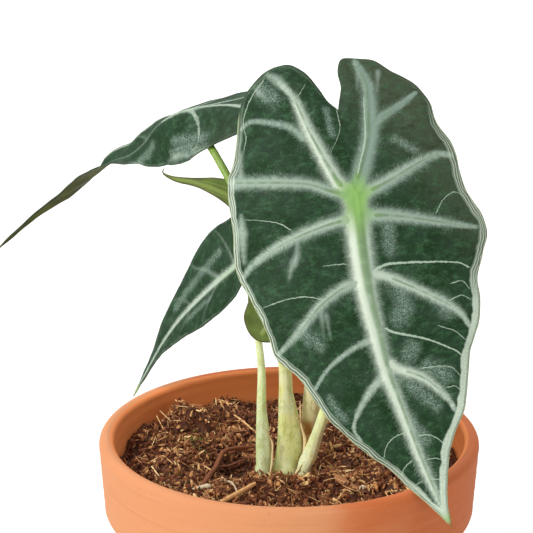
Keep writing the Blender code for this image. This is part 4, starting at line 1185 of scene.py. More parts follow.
def soil_height(x: float, y: float) -> float:
    """Return the soil's surface height: banked up at the left and back, lumpy away from the stalks."""
    reach = math.hypot(x, y) / RIM_RADIUS
    bank = SOIL_BANK_LEFT * (0.5 - 0.5 * x / RIM_RADIUS) + SOIL_BANK_BACK * max(y, 0.0) / RIM_RADIUS
    lumps = LUMP_HEIGHT * noise.noise(Vector((x, y, 0.0)) / LUMP_LENGTH)
    crumbs = CRUMB_HEIGHT * noise.noise(Vector((x, y, RIM_RADIUS)) / CRUMB_LENGTH)
    crumbs += CLOD_HEIGHT * noise.noise(Vector((x, y, 0.2)) / CLOD_LENGTH)
    free = min(max(off_stems(x, y) / STEM_LEVEL_WIDTH, 0.0), 1.0)
    return SOIL_LEVEL + bank * reach**2 + free * (lumps + crumbs) + heaped_height(x, y)


@dataclass(frozen=True)
class Heap:
    """A heap in the soil, or a hollow where its height is negative."""

    x: float
    y: float
    reach: float
    height: float


def heaped_height(x: float, y: float) -> float:
    """Return how far the heaps and hollows lift the soil at a place."""
    return sum(h.height * math.exp(-((x - h.x) ** 2 + (y - h.y) ** 2) / h.reach**2) for h in HEAPS)


HEAPS = (
    Heap(-0.043, 0.037, 0.007, 0.0085), Heap(-0.035, 0.035, 0.005, 0.0056),
    Heap(-0.0255, 0.052, 0.006, 0.0056), Heap(-0.056, 0.017, 0.0065, 0.0034),
    Heap(-0.047, -0.006, 0.008, 0.0022), Heap(-0.038, 0.012, 0.006, 0.0024),
    Heap(-0.02, -0.002, 0.009, -0.008), Heap(-0.025, 0.025, 0.006, 0.0016),
    Heap(-0.015, -0.023, 0.006, 0.003), Heap(-0.005, -0.023, 0.0065, 0.004),
    Heap(0.006, -0.024, 0.0065, 0.0042), Heap(0.018, -0.018, 0.007, 0.0036),
    Heap(-0.033, -0.035, 0.007, 0.0018), Heap(0.006, 0.034, 0.008, 0.0024),
    Heap(0.03, 0.012, 0.009, 0.003), Heap(0.038, -0.028, 0.008, 0.0026),
    Heap(0.047, 0.023, 0.009, 0.003), Heap(0.02, 0.05, 0.008, 0.003),
    Heap(-0.067, 0.012, 0.015, -0.0052), Heap(-0.049, 0.05, 0.015, -0.0048),
    Heap(-0.017, 0.066, 0.015, -0.0036),
)


@dataclass(frozen=True)
class Stick:
    """A bit of root, straw or bark that stands out: its places as (x, y, height over the soil) in millimetres."""

    points: tuple
    radii: tuple
    shade: float
    flat: float = 1.0


STICKS = (
    Stick(((-39.5, -30, 0.8), (-34.3, -20.8, 1.2), (-31, -12, 1.4), (-29, 0, 2.6), (-26, 7.9, 3.2),
           (-20.5, 12.5, 3.4), (-13.5, 15.5, 1.6)), (0.95, 0.9, 0.85, 0.95, 0.85, 0.75, 0.5), 0.36),
    Stick(((-29, 0, 2.4), (-24, 3, 3.6), (-17.5, 4.5, 4.6)), (0.5, 0.45, 0.3), 0.24),
    Stick(((-26.6, -40, 0.8), (-13.3, -28.4, 2)), (0.85, 0.75), 0.8),
    Stick(((-37.5, -31, 0.4), (-35, -30.5, 0.9), (-31, -29, 1), (-28, -27, 0.6)),
          (0.3, 1.1, 1.2, 0.3), 1.3, 0.7),
    Stick(((-26.5, -13, 2.4), (-24.2, -19, 1.8), (-22, -24, 1.4), (-19.5, -30.3, 0.8)),
          (0.25, 0.42, 0.4, 0.2), 1.25),
    Stick(((-24.2, -19, 1.8), (-27, -17.5, 1.6)), (0.35, 0.15), 1.15),
    Stick(((-54, 35.5, 4.6), (-50.5, 27, 0.8)), (0.2, 0.22), 0.85),
    Stick(((-53.7, -14, 1.4), (-47.7, -26.5, 1)), (0.28, 0.22), 1.05),
    Stick(((-22.4, 42.8, 1.2), (-18, 35, 2.4), (-12.6, 26.7, 1.6)), (0.25, 0.35, 0.3), 0.86),
    Stick(((17, -20, 1), (19.5, -21.5, 1.6), (24, -25, 1.6), (26.5, -27, 0.8)),
          (0.5, 2.1, 2, 0.4), 0.52, 0.35),
    Stick(((26, -29, 0.8), (28, -29, 1.2), (30, -28, 0.8)), (0.3, 1.2, 0.3), 1.25, 0.7),
    Stick(((25.6, -30, 1), (31, -24, 1.4), (36.6, -16, 0.8)), (0.3, 0.32, 0.25), 0.45),
    Stick(((41, 8, 0.8), (47, 16, 1.6), (50, 27, 1)), (0.3, 0.5, 0.3), 0.4),
    Stick(((12, 44, 1), (22, 40, 1.6), (30, 42, 0.8)), (0.4, 0.5, 0.3), 0.8),
)


@dataclass
class Litter:
    """One sort of loose bit in the soil: its model, how many there are, how big, and how dark or light."""

    name: str
    count: int
    smallest: float
    largest: float
    slimness: tuple
    sink: float
    pile: float
    tilt: float
    shades: tuple
    seed: int


@dataclass
class Soil:
    """The coir mix: a lumpy bed, thousands of crumbs, shreds and fibres, and the few bits that stand out.

    The bed's grain fades within smooth_collar of a stalk. strewn_gap and turned_gap keep the bits' middles
    and corners off the wall.
    """

    cells: int = 190
    grain_height: float = 0.0013
    grain_length: float = 0.0016
    wall_gap: float = 0.0004
    smooth_collar: float = 0.004
    strewn_gap: float = 0.0012
    turned_gap: float = 0.003
    # Nearly black: the peat's own dark tone, and painted shade in the gaps between the bits.
    bed_shade: float = 0.16
    # How broad the clumps are whose bits are darker or lighter at random.
    clump_length: float = 0.0048
    moss_count: int = 70
    moss_place: tuple = (-0.037, 0.017)
    moss_spread: tuple = (0.0026, 0.0045)
    moss_sizes: tuple = (0.0005, 0.0013)
    moss_heights: tuple = (0.0004, 0.0018)
    moss_shade: float = -0.6

    def bed(self) -> bpy.types.Object:
        """Model the bed as a grid pressed into a disc, lumped on top and drawn down to the pot's floor."""
        bpy.ops.mesh.primitive_grid_add(x_subdivisions=self.cells, y_subdivisions=self.cells, size=2.0)
        bed = named("coir_bed")
        places = points_of(bed)
        wall = inner_radius(SOIL_LEVEL) - self.wall_gap
        for row in places:
            u, v = row[0], row[1]
            x = u * math.sqrt(1.0 - v * v / 2.0) * wall
            y = v * math.sqrt(1.0 - u * u / 2.0) * wall
            grain = noise.noise(Vector((x, y, 0.5)) / self.grain_length)
            free = min(max(off_stems(x, y) / self.smooth_collar, 0.0), 1.0)
            row[:] = (x, y, soil_height(x, y) + free * self.grain_height * (grain - 0.4))
            if max(abs(u), abs(v)) > 0.999:
                row[:2] *= (inner_radius(row[2]) - self.wall_gap) / wall
        shape_points(bed, places)
        bpy.ops.object.mode_set(mode="EDIT")
        bpy.ops.mesh.select_mode(type="EDGE")
        bpy.ops.mesh.select_all(action="DESELECT")
        bpy.ops.mesh.select_non_manifold()
        radius = wall
        for z in (COLLAR_HOLLOW_HEIGHT, POT_HEIGHT - COLLAR_HEIGHT, SOIL_LEVEL - SOIL_DEPTH):
            below = inner_radius(z) - 2.0 * self.wall_gap
            bpy.ops.mesh.extrude_edges_move(TRANSFORM_OT_translate={"value": (0.0, 0.0, -0.01)})
            bpy.ops.transform.resize(value=(below / radius, below / radius, 0.0), center_override=(0.0, 0.0, z))
            radius = below
        bpy.ops.mesh.edge_face_add()
        bpy.ops.mesh.select_all(action="SELECT")
        bpy.ops.mesh.normals_make_consistent(inside=False)
        bpy.ops.mesh.select_mode(type="VERT")
        bpy.ops.object.mode_set(mode="OBJECT")
        note(bed, "shade", np.full(len(bed.data.vertices), self.bed_shade))
        bpy.ops.object.shade_smooth()
        return bed

    def crumb_model(self, turn: int) -> np.ndarray:
        """Return one rough crumb as its triangles' corners, about one unit across."""
        bpy.ops.mesh.primitive_ico_sphere_add(subdivisions=1, radius=0.5)
        bpy.ops.object.mode_set(mode="EDIT")
        bpy.ops.mesh.select_all(action="SELECT")
        bpy.ops.transform.vertex_random(offset=0.16, seed=turn)
        bpy.ops.object.mode_set(mode="OBJECT")
        return self.take_triangles(bpy.context.object)

    def shred_model(self, bend: float, sides: int, parts: int, flat: float, taper: float = 0.65) -> np.ndarray:
        """Return one curled shred as its triangles' corners, one unit long.

        Args:
            bend: How far it curls, in degrees.
            sides: Corners of its section.
            parts: Lengths that it is divided into.
            flat: Its thickness as a share of its width.
            taper: How much slimmer its ends are.

        Returns:
            An array of triangles, corners and coordinates.
        """
        bpy.ops.mesh.primitive_cylinder_add(vertices=sides, radius=0.5, depth=1.0)
        shred = bpy.context.object
        cut_upright(shred, parts - 1)
        places = points_of(shred)
        taper = 1.0 - taper * np.abs(2.0 * places[:, 2]) ** 1.5
        angle = np.radians(bend) * places[:, 2]
        radius = 1.0 / max(np.radians(bend), 0.01)
        thick = places[:, 1] * flat * taper
        bent = np.column_stack((
            (radius + thick) * np.sin(angle),
            places[:, 0] * taper,
            (radius + thick) * np.cos(angle) - radius,
        ))
        shape_points(shred, bent)
        return self.take_triangles(shred)

    def take_triangles(self, item: bpy.types.Object) -> np.ndarray:
        """Return a model's triangles' corners and remove it."""
        mesh = item.data
        mesh.calc_loop_triangles()
        places = points_of(item)
        corners = np.array([triangle.vertices[:] for triangle in mesh.loop_triangles])
        bpy.data.objects.remove(item, do_unlink=True)
        return places[corners]

    def strew(self, litter: Litter, models: list) -> bpy.types.Object:
        """Strew copies of the models over the bed as one piece.

        Args:
            litter: What is strewn, and how.
            models: The bits' models as triangles' corners, with the long side along x.

        Returns:
            The finished piece, with each bit's shade noted.
        """
        rng = np.random.default_rng(litter.seed)
        reach = inner_radius(SOIL_LEVEL) - self.strewn_gap
        pieces, shades = [], []
        while len(pieces) < litter.count:
            x, y = rng.uniform(-reach, reach, 2)
            size = litter.smallest * (litter.largest / litter.smallest) ** rng.uniform()
            if math.hypot(x, y) > reach - size * 0.3 or off_stems(x, y) < self.wall_gap:
                continue
            slim = rng.uniform(*litter.slimness)
            model = models[rng.integers(len(models))] * np.array((size, size * slim, size * slim))
            turn = Matrix.Rotation(rng.uniform(0.0, math.tau), 3, "Z")
            turn = turn @ Matrix.Rotation(rng.normal(0.0, litter.tilt), 3, "Y")
            turn = turn @ Matrix.Rotation(rng.uniform(0.0, math.tau), 3, "X")
            bit = model @ np.array(turn).T
            up = size * slim * litter.sink + litter.pile * rng.uniform() ** 2
            bit = bit + np.array((x, y, soil_height(x, y) + up))
            pieces.append(self.keep_inside(bit))
            # Painted shade: bits in the hollows are darker, and painted light: bits on the heaps a little lighter; a
            # broad noise then varies the tone at random, clump by clump.
            hollow_dark = min(max(1.0 + 90.0 * heaped_height(x, y), 0.35), 1.2)
            hollow_dark *= 1.0 + 0.5 * noise.noise(Vector((x, y, 0.1)) / self.clump_length)
            shades.append(min(rng.choice(litter.shades) * rng.uniform(0.8, 1.2) * hollow_dark, 1.0))
        return self.join_bits(litter.name, pieces, shades)

    def lay_sticks(self) -> bpy.types.Object:
        """Lay out the bits that stand out, and a patch of moss crumbs, as one piece."""
        pieces, shades = [], []
        for stick in STICKS:
            rod = self.shred_model(0.6, sides=8, parts=14, flat=stick.flat, taper=0.0)
            knots = [(x, y, up + soil_height(x * MM, y * MM) / MM) for x, y, up in stick.points]
            path = smooth_curve(knots, 8) * MM
            steps = np.linspace(-0.5, 0.5, len(path))
            radii = np.interp(rod[..., 0], np.linspace(-0.5, 0.5, len(stick.radii)), stick.radii) * MM
            radii = radii * (1.15 + 0.2 * np.sin(rod[..., 0] * 41.0) * np.cos(rod[..., 0] * 17.0))
            middle = read_along(rod[..., 0], steps, path)
            ahead = path[-1, :2] - path[0, :2]
            across = np.array((-ahead[1], ahead[0], 0.0)) / np.hypot(*ahead)
            bit = middle + across * (2.0 * rod[..., 1] * radii)[..., None]
            bit[..., 2] += 2.0 * rod[..., 2] * radii
            pieces.append(self.keep_inside(bit))
            shades.append(stick.shade)
        rng = np.random.default_rng(3)
        moss = self.crumb_model(9)
        for _ in range(self.moss_count):
            x, y = (rng.normal(middle, spread) for middle, spread in zip(self.moss_place, self.moss_spread))
            up = soil_height(x, y) + rng.uniform(*self.moss_heights)
            pieces.append(moss * rng.uniform(*self.moss_sizes) + np.array((x, y, up)))
            shades.append(self.moss_shade)
        return self.join_bits("coir_sticks", pieces, shades)

    def keep_inside(self, bit: np.ndarray) -> np.ndarray:
        """Draw a bit's corners back where they would pass the pot's wall."""
        radii = np.hypot(bit[..., 0], bit[..., 1])
        most = RIM_RADIUS - RIM_WIDTH - self.turned_gap
        bit[..., :2] *= np.minimum(most / np.maximum(radii, 1e-9), 1.0)[..., None]
        return bit

    def join_bits(self, name: str, pieces: list, shades: list) -> bpy.types.Object:
        """Make one mesh of many bits, each welded by itself."""
        corners = np.vstack([piece.reshape(-1, 3) for piece in pieces])
        mesh = bpy.data.meshes.new(name)
        mesh.from_pydata(corners.tolist(), [], np.arange(len(corners)).reshape(-1, 3).tolist())
        item = bpy.data.objects.new(name, mesh)
        bpy.context.scene.collection.objects.link(item)
        note(item, "shade", np.repeat(shades, [piece.shape[0] * 3 for piece in pieces]))
        only(item)
        bpy.ops.object.mode_set(mode="EDIT")
        bpy.ops.mesh.select_all(action="SELECT")
        bpy.ops.mesh.remove_doubles(threshold=0.000001)
        bpy.ops.mesh.normals_make_consistent(inside=False)
        bpy.ops.object.mode_set(mode="OBJECT")
        bpy.ops.object.shade_smooth_by_angle(angle=math.radians(40.0))
        return item


def tint(red: int, green: int, blue: int) -> tuple:
    """Return a screen colour, 0 to 255, as a shader's linear colour."""
    shares = [value / 255.0 for value in (red, green, blue)]
    return (*(share / 12.92 if share <= 0.04045 else ((share + 0.055) / 1.055) ** 2.4 for share in shares), 1.0)


class Signal:
    """A value in a material, which adds and multiplies like a number."""

    def __init__(self, socket: bpy.types.NodeSocket) -> None:
        """Keep the socket that gives the value."""
        self.socket = socket

    def __add__(self, other: object) -> "Signal":
        """Return the sum."""
        return work("ADD", self, other)

    def __sub__(self, other: object) -> "Signal":
        """Return the difference."""
        return work("SUBTRACT", self, other)

    def __rsub__(self, other: object) -> "Signal":
        """Return the difference from a plain number."""
        return work("SUBTRACT", other, self)

    def __mul__(self, other: object) -> "Signal":
        """Return the product."""
        return work("MULTIPLY", self, other)

    def __truediv__(self, other: object) -> "Signal":
        """Return the quotient."""
        return work("DIVIDE", self, other)

    def __abs__(self) -> "Signal":
        """Return the size without its sign."""
        return work("ABSOLUTE", self)


def feed(socket: bpy.types.NodeSocket, value: object) -> None:
    """Join a socket to a signal, or set it to a plain value."""
    if isinstance(value, Signal):
        socket.id_data.links.new(value.socket, socket)
    else:
        socket.default_value = value


def run(kind: str, inputs: dict, output: object = 0, tree: object = None, **settings: object) -> Signal:
    """Add a node.

    Args:
        kind: The node's type, without the words that all types start with.
        inputs: What its sockets get, by name or place. The first signal among them tells the tree.
        output: The name or place of the output to return.
        tree: The node tree, where no input is a signal.
        settings: The node's own settings.

    Returns:
        The output's signal.
    """
    if tree is None:
        tree = next(value.socket.id_data for value in inputs.values() if isinstance(value, Signal))
    node = tree.nodes.new(f"ShaderNode{kind}")
    for name, value in settings.items():
        setattr(node, name, value)
    for name, value in inputs.items():
        feed(node.inputs[name], value)
    return Signal(node.outputs[output])


def work(operation: str, *values: object) -> Signal:
    """Work out one number."""
    return run("Math", dict(enumerate(values)), operation=operation)


def rise(value: Signal, low: object, high: object, bottom: object = 0.0, top: object = 1.0) -> Signal:
    """Map a value smoothly from bottom at low to top at high."""
    inputs = {"Value": value, "From Min": low, "From Max": high, "To Min": bottom, "To Max": top}
    return run("MapRange", inputs, interpolation_type="SMOOTHSTEP")


def stretch(vector: Signal, *factors: float) -> Signal:
    """Scale a vector along its three axes."""
    return run("VectorMath", {0: vector, 1: factors}, operation="MULTIPLY")


def outputs_of(signal: Signal) -> tuple:
    """Return the signals of all outputs of a signal's node."""
    return tuple(Signal(output) for output in signal.socket.node.outputs)


def split(vector: Signal) -> tuple:
    """Return a vector's three numbers."""
    return outputs_of(run("SeparateXYZ", {0: vector}))


def grain_of(vector: Signal, scale: float, detail: float = 2.0, rough: float = 0.5) -> Signal:
    """Return soft noise from 0 to 1."""
    return run("TexNoise", {"Vector": vector, "Scale": scale, "Detail": detail, "Roughness": rough})


def layer(colour: object, *layers: tuple) -> Signal:
    """Lay colours over a colour, each by its mask."""
    for mask, tone in layers:
        colour = run("Mix", {0: mask, 6: colour, 7: tone}, 2, data_type="RGBA")
    return colour


def relief(height: Signal, strength: float, distance: float) -> Signal:
    """Return normals that are raised by a height."""
    return run("Bump", {"Strength": strength, "Distance": distance, "Height": height})


def effect(tree: bpy.types.NodeTree, **values: object) -> tuple:
    """Place a shared effect with its own values and return its outputs."""
    return outputs_of(run("Group", values, node_tree=tree))


class Look:
    """A material while it is wired."""

    def __init__(self, name: str) -> None:
        """Start a new material."""
        self.material = bpy.data.materials.new(name)
        self.material.use_nodes = True
        self.tree = self.material.node_tree
        self.shader = self.tree.nodes["Principled BSDF"]

    def read(self, name: str, output: str = "Fac") -> Signal:
        """Read a measure that is stored on the mesh."""
        return run("Attribute", {}, output, self.tree, attribute_name=name)

    def place(self) -> Signal:
        """Read the place on the object, in metres."""
        return run("TexCoord", {}, "Object", self.tree)

    def finish(self, colour: object, roughness: object, normal: object, gloss: float) -> bpy.types.Material:
        """Give the surface its colour, roughness, relief and gloss."""
        given = {"Base Color": colour, "Roughness": roughness, "Normal": normal, "Specular IOR Level": gloss}
        for name, value in given.items():
            if value is not None:
                feed(self.shader.inputs[name], value)
        return self.material


def new_effect(name: str, inputs: dict, outputs: tuple) -> tuple[bpy.types.NodeTree, dict, object]:
    """Start a shared effect.

    Args:
        name: The effect's name.
        inputs: The inputs' names and first values.
        outputs: The outputs' names.

    Returns:
        The node group, its inputs' signals by name, and the sockets of its outputs.
    """
    tree = bpy.data.node_groups.new(name, "ShaderNodeTree")
    for title, value in inputs.items():
        kind = "NodeSocketVector" if isinstance(value, tuple) else "NodeSocketFloat"
        tree.interface.new_socket(title, in_out="INPUT", socket_type=kind).default_value = value
    for title in outputs:
        tree.interface.new_socket(title, in_out="OUTPUT", socket_type="NodeSocketFloat")
    given, result = tree.nodes.new("NodeGroupInput"), tree.nodes.new("NodeGroupOutput")
    return tree, {title: Signal(given.outputs[title]) for title in inputs}, result.inputs


def felt_effect() -> bpy.types.NodeTree:
    """Make the felted edge of a vein: its depth in millimetres, frayed by short hairs that stand square to it."""
    tree, given, results = new_effect("felted vein", {"Depth": 0.0, "Along": 0.0, "Reach": 1.4}, ("Depth", "Hairs"))
    across = given["Depth"] * 0.55
    slant = across + given["Along"]
    hairs = grain_of(run("CombineXYZ", {0: slant * 2.7, 1: across}), 1.0, 3.0, 0.7)
    clumps = grain_of(run("CombineXYZ", {0: slant * 0.40, 1: across, 2: 7.0}), 1.0, 3.0)
    feed(results["Depth"], (hairs + clumps - 1.0) * given["Reach"] + given["Depth"])
    feed(results["Hairs"], hairs)
    return tree


def speckle_effect() -> bpy.types.NodeTree:
    """Make scattered specks with soft edges."""
    tree, given, results = new_effect("specks", {"Place": (0.0, 0.0, 0.0), "Size": 0.2, "Share": 0.5}, ("Mask",))
    cells = run("TexVoronoi", {"Vector": given["Place"], "Scale": 1.0}, "Distance")
    chance = split(Signal(cells.socket.node.outputs["Color"]))[0]
    picked = work("GREATER_THAN", chance, 1.0 - given["Share"])
    feed(results["Mask"], picked * rise(cells, given["Size"] * 0.5, given["Size"], 1.0, 0.0))
    return tree


@dataclass(frozen=True)
class BladeFinish:
    """The velvety upper face of a blade with its pale felted veins."""

    deep: tuple = tint(15, 42, 16)
    cool: tuple = tint(32, 54, 38)
    light: tuple = tint(38, 84, 42)
    brown: tuple = tint(74, 82, 64)
    # The pale colour of the painted sheen; the fine pale specks share it.
    haze: tuple = tint(138, 160, 146)
    down: tuple = tint(166, 184, 170)
    # Painted light: the felted veins are mixed from a shaded and a lit copy of their white; the lit white also draws
    # the margin's real pale lines.
    shaded: tuple = tint(126, 148, 134)
    bright: tuple = tint(228, 240, 220)
    core: tuple = tint(110, 136, 106)
    # The midrib's fresh green, and a lighter copy of it for the midrib's painted-lit side.
    fresh: tuple = tint(104, 134, 88)
    leaf: tuple = tint(150, 190, 116)
    heart: tuple = tint(132, 176, 94)
    line: tuple = tint(176, 196, 176)
    hem: tuple = tint(200, 216, 196)
    gilt: tuple = tint(190, 198, 160)
    tip: tuple = tint(140, 170, 90)
    scorch: tuple = tint(156, 92, 44)

    def ground(self, look: Look, flat: Signal, nap: Signal, specks: bpy.types.NodeTree) -> Signal:
        """Return the colour between the veins: mottled dark green, with painted sheen as a pale mist near the veins
        and in clouds, and a painted glint on the quilting.
        """
        a, b, _ = split(flat)
        quilt = grain_of(stretch(flat, 0.28, 0.45, 1), 1, 4, 0.65)
        down = rise(grain_of(flat, 1.9, 3, 0.7), 0.42, 0.72)
        # Painted sheen: a pale mist near the veins.
        mist = rise(grain_of(flat, 0.15, 3), 0.5, 0.74) * down * rise(look.read("near"), 1, 11, 1, 0.1)
        cloud, sparkle = look.read("cloud"), rise(grain_of(flat, 1.9, 4, 0.9), 0.45, 0.58)
        # Painted sheen: pale clouds, broken by the sparkle.
        haze = rise(grain_of(flat, 0.4, 4, 0.6) * 1.3 + cloud, 0.7, 1.75, 0, 0.9)
        haze = haze * rise(sparkle, 0, 1, 0.15, 1) * rise(cloud, 0, 0.8)
        dust, = effect(specks, Place=stretch(flat, 1.5, 1.5, 1.5), Size=0.2, Share=0.12)
        return layer(
            self.deep,
            (rise(grain_of(flat, 0.1, 4, 0.6), 0.38, 0.6), self.cool),
            (rise(nap, 0.42, 0.82), self.light),
            (rise(b * -0.6 + a, 10, 46, 0, 0.65), self.brown),
            (rise(quilt, 0.48, 0.72, 0, 0.7), self.light),
            (rise(quilt, 0.3, 0.46, 0.5, 0), self.deep),
            (mist * 0.5, self.haze),
            (haze, self.haze),
            # Painted glint on the tops of the quilting.
            (sparkle * rise(quilt, 0.46, 0.7, 0, 0.14), self.haze),
            # Real fine pale specks, in the sheen's colour.
            (dust * 0.25, self.haze),
        )

    def felted(self, look: Look, flat: Signal, depth: Signal, girth: Signal, hairs: Signal) -> tuple:
        """Wire the felted veins.

        Args:
            look: The material that is wired.
            flat: The place in the blade's flat measures.
            depth: How deep inside the frayed vein, in millimetres.
            girth: The vein's half width there.
            hairs: The pattern of its hairs.

        Returns:
            The vein's colour and how fully it covers the ground.
        """
        a, b, _ = split(flat)
        fresh, share = look.read("fresh"), look.read("core") / girth
        full = work("MINIMUM", girth * 0.75, girth * 0.4 + 0.9)
        strands = rise(hairs, 0.46, 0.68, 0, 0.55) * rise(depth, -1.9, 0.5) * rise(girth, 0.8, 2.2)
        cover = work("MAXIMUM", rise(depth, girth * -0.2 - 0.45, full, 0, 0.96), strands)
        # Painted sheen on the hairs, and painted light: the felt goes from the shaded to the lit white as far as its
        # side is painted lit, dimmer towards its frayed edge.
        sheen = rise(hairs, 0.4, 0.7, -0.08, 0.16) * rise(depth, 0.6, 2.2, 1, 0.25)
        calm = rise(hairs, 0.3, 0.65, rise(depth, 0.6, 2.2, 0.72, 0.93), 1)
        lit = look.read("lit") * rise(depth, 0.1, 2.6, 0.5, 1) * calm + sheen
        inner = rise(share, 0.06, rise(girth, 2.9, 3.6, 0.26, 0.46), 0.8, 0) * rise(girth, 1.2, 2.2)
        inner = inner * rise(grain_of(flat, 0.22, 3), 0.36, 0.56, 0.45, 1)
        drawn = work("MAXIMUM", b * 0.55, b * -1)
        reach = work("SQRT", a * a + drawn * drawn)
        heart = rise(reach, 2, 10.5, 0.95, 0) * rise(depth, 0, 2.4)
        down = rise(b, 5, 58, 0.9, 0.15) * rise(abs(a), 2, 3.2, 1, 0)
        stem = work("MAXIMUM", down, rise(reach, 5, 15, 0.8, 0))
        stem = stem * rise(share, 0.14, rise(girth, 3.2, 5, 0.32, 0.52), 1, 0)
        # Painted light: the midrib's fresh green is lighter on its lit side.
        juicy = layer(self.fresh, (rise(lit, 0.5, 0.85), self.leaf))
        colour = layer(
            self.shaded, (lit, self.bright), (inner, self.core), (stem * fresh, juicy), (heart * fresh, self.heart))
        return colour, cover

    def hemmed(self, look: Look, flat: Signal, colour: Signal) -> Signal:
        """Return the colour with the pale lines and the pale band that follow the margin."""
        edge, pale, width, lines = (look.read(name) for name in ("edge", "hem_pale", "hem_width", "hem_lines"))
        swayed = (grain_of(flat, 0.16, 2) - 0.5) * 2.4 + edge
        within = rise(width - swayed, -0.1, 0.35)
        wave = work("SINE", swayed * (math.tau / 0.95) - 1.2)
        filled = pale * rise(grain_of(flat, 1.6, 3, 0.7), 0.3, 0.6, 0.7, 1) * rise(edge, 0.4, 1.1, 0.4, 1)
        beyond = split(flat)[1] - look.read("tip")
        return layer(
            colour,
            (within * filled, self.hem),
            (within * rise(wave, 0.1, 0.9) * lines, self.bright),
            (rise(abs(width - swayed), 0.05, 0.3, 0.4, 0) * rise(width, 1.6, 2.4), self.down),
            (rise(edge, 0.22, 0.46, 0.7, 0) * rise(lines, 0, 0.12), self.gilt),
            (rise(beyond, -9, -4, 0, 0.75), self.tip),
            (rise(beyond, -4.2, -2.2, 0, 0.9) * rise(look.read("fresh"), 0.4, 0.8), self.scorch),
        )

    def material(self, felt: bpy.types.NodeTree, specks: bpy.types.NodeTree) -> bpy.types.Material:
        """Wire the upper face."""
        look = Look("blade_upper")
        flat = look.read("flat", "Vector")
        along, girth, slim = (look.read(name) for name in ("along", "girth", "slim"))
        nap = grain_of(flat, 1.3, 4, 0.7)
        depth, hairs = effect(felt, Depth=look.read("depth"), Along=along, Reach=1.3)
        soft, _ = effect(felt, Depth=look.read("smear"), Along=along, Reach=1.2)
        felted, cover = self.felted(look, flat, depth, girth, hairs)
        waver = (grain_of(flat, 0.8, 3, 0.7) - 0.5) * 0.9
        thin = slim * rise(nap, 0.3, 0.6, 0.6, 1.25) - abs(waver + look.read("line"))
        colour = layer(
            self.ground(look, flat, nap, specks),
            (rise(soft, -0.8, 2.4, 0, 0.85) * rise(nap, 0.2, 0.6, 0.5, 1), self.down),
            (cover, felted),
            (rise(thin, -0.1, 0.08, 0, 0.8) * rise(slim, 0.02, 0.09), self.line),
        )
        height = hairs * cover * 0.22 + nap * 0.16 + rise(look.read("core"), 0, 1.4, 0.5, 0)
        colour = self.hemmed(look, flat, colour)
        return look.finish(colour, rise(nap, 0.2, 0.8, 0.55, 0.72), relief(height, 0.5, 0.0006), 0.2)


@dataclass(frozen=True)
class UndersideFinish:
    """The matt olive underside of a blade with its raised veins."""

    name: str = "blade_underside"
    olive: tuple = tint(98, 120, 42)
    dark: tuple = tint(76, 94, 34)
    vein: tuple = tint(130, 148, 70)
    edge: tuple = tint(84, 72, 42)
    gloss: float = 0.4

    def material(self) -> bpy.types.Material:
        """Wire the underside."""
        look = Look(self.name)
        flat, slim = look.read("flat", "Vector"), look.read("slim")
        grain = grain_of(flat, 0.9, 4, 0.65)
        rib = rise(look.read("core"), 0.3, 1.3, 0.9, 0)
        thin = rise(slim - abs(look.read("line")), -0.3, 0.08, 0, 0.6) * rise(slim, 0.02, 0.09)
        colour = layer(
            self.olive,
            (rise(grain_of(flat, 0.1, 2), 0.35, 0.68), self.dark),
            (rise(grain, 0.5, 0.9, 0, 0.5), self.vein),
            (work("MAXIMUM", rib, thin), self.vein),
            (rise(look.read("edge"), 0.2, 0.9, 0.75, 0), self.edge),
        )
        return look.finish(colour, rise(grain, 0.2, 0.8, 0.42, 0.6), relief(grain + rib, 0.4, 0.0005), self.gloss)


@dataclass(frozen=True)
class StalkFinish:
    """A juicy stalk: cream at the foot, greener above, finely streaked and flecked, with a papery edge."""

    name: str
    foot: tuple
    middle: tuple
    top: tuple
    turn_height: float
    scar: tuple = (0, 0)
    fleck: tuple = tint(128, 138, 70)
    scar_colour: tuple = tint(196, 136, 80)
    paper: tuple = tint(176, 142, 88)
    vein: tuple = tint(172, 182, 84)
    milk: tuple = tint(232, 240, 206)

    def material(self, specks: bpy.types.NodeTree) -> bpy.types.Material:
        """Wire the stalk."""
        look = Look(self.name)
        place, height = look.place(), look.read("height")
        streak = grain_of(stretch(place, 1300, 1300, 45), 1, 4, 0.65)
        mottle = grain_of(stretch(place, 420, 420, 260), 1, 3)
        blotch = grain_of(stretch(place, 210, 210, 120), 1, 4, 0.7)
        young = rise(height, 30, 90, 1, 0.15)
        flecks, = effect(specks, Place=stretch(place, 1500, 1500, 420), Size=0.34, Share=0.3)
        low, high = self.scar
        scar = rise(height, low, low + 3) * rise(height, high - 4, high, 1, 0)
        colour = layer(
            self.foot,
            (rise(height, 2, self.turn_height), self.middle),
            (rise(height, self.turn_height, self.turn_height + 45), self.top),
            (rise(streak, 0.5, 0.72, 0, 0.5), self.vein),
            (rise(streak, 0.3, 0.46, 0.5, 0) * rise(height, 60, 110, 1, 0.3), self.milk),
            (rise(blotch, 0.42, 0.62, 0, 0.6) * young, self.milk),
            (rise(mottle, 0.48, 0.62, 0, 0.4) * young, self.vein),
            (flecks * rise(height, 6, 30, 0.55, 0.25), self.fleck),
            (rise(height, 0.5, 5, 0.4, 0) * rise(mottle, 0.35, 0.6), self.paper),
            (scar * rise(mottle, 0.3, 0.5, 0.4, 1), self.scar_colour),
            (rise(look.read("paper"), 0.72, 0.97) * 0.55, self.paper),
        )
        look.shader.inputs["Subsurface Weight"].default_value = 0.12
        look.shader.inputs["Subsurface Scale"].default_value = 0.004
        return look.finish(colour, rise(mottle, 0.3, 0.8, 0.38, 0.55), relief(streak + mottle, 0.25, 0.0003), 0.4)


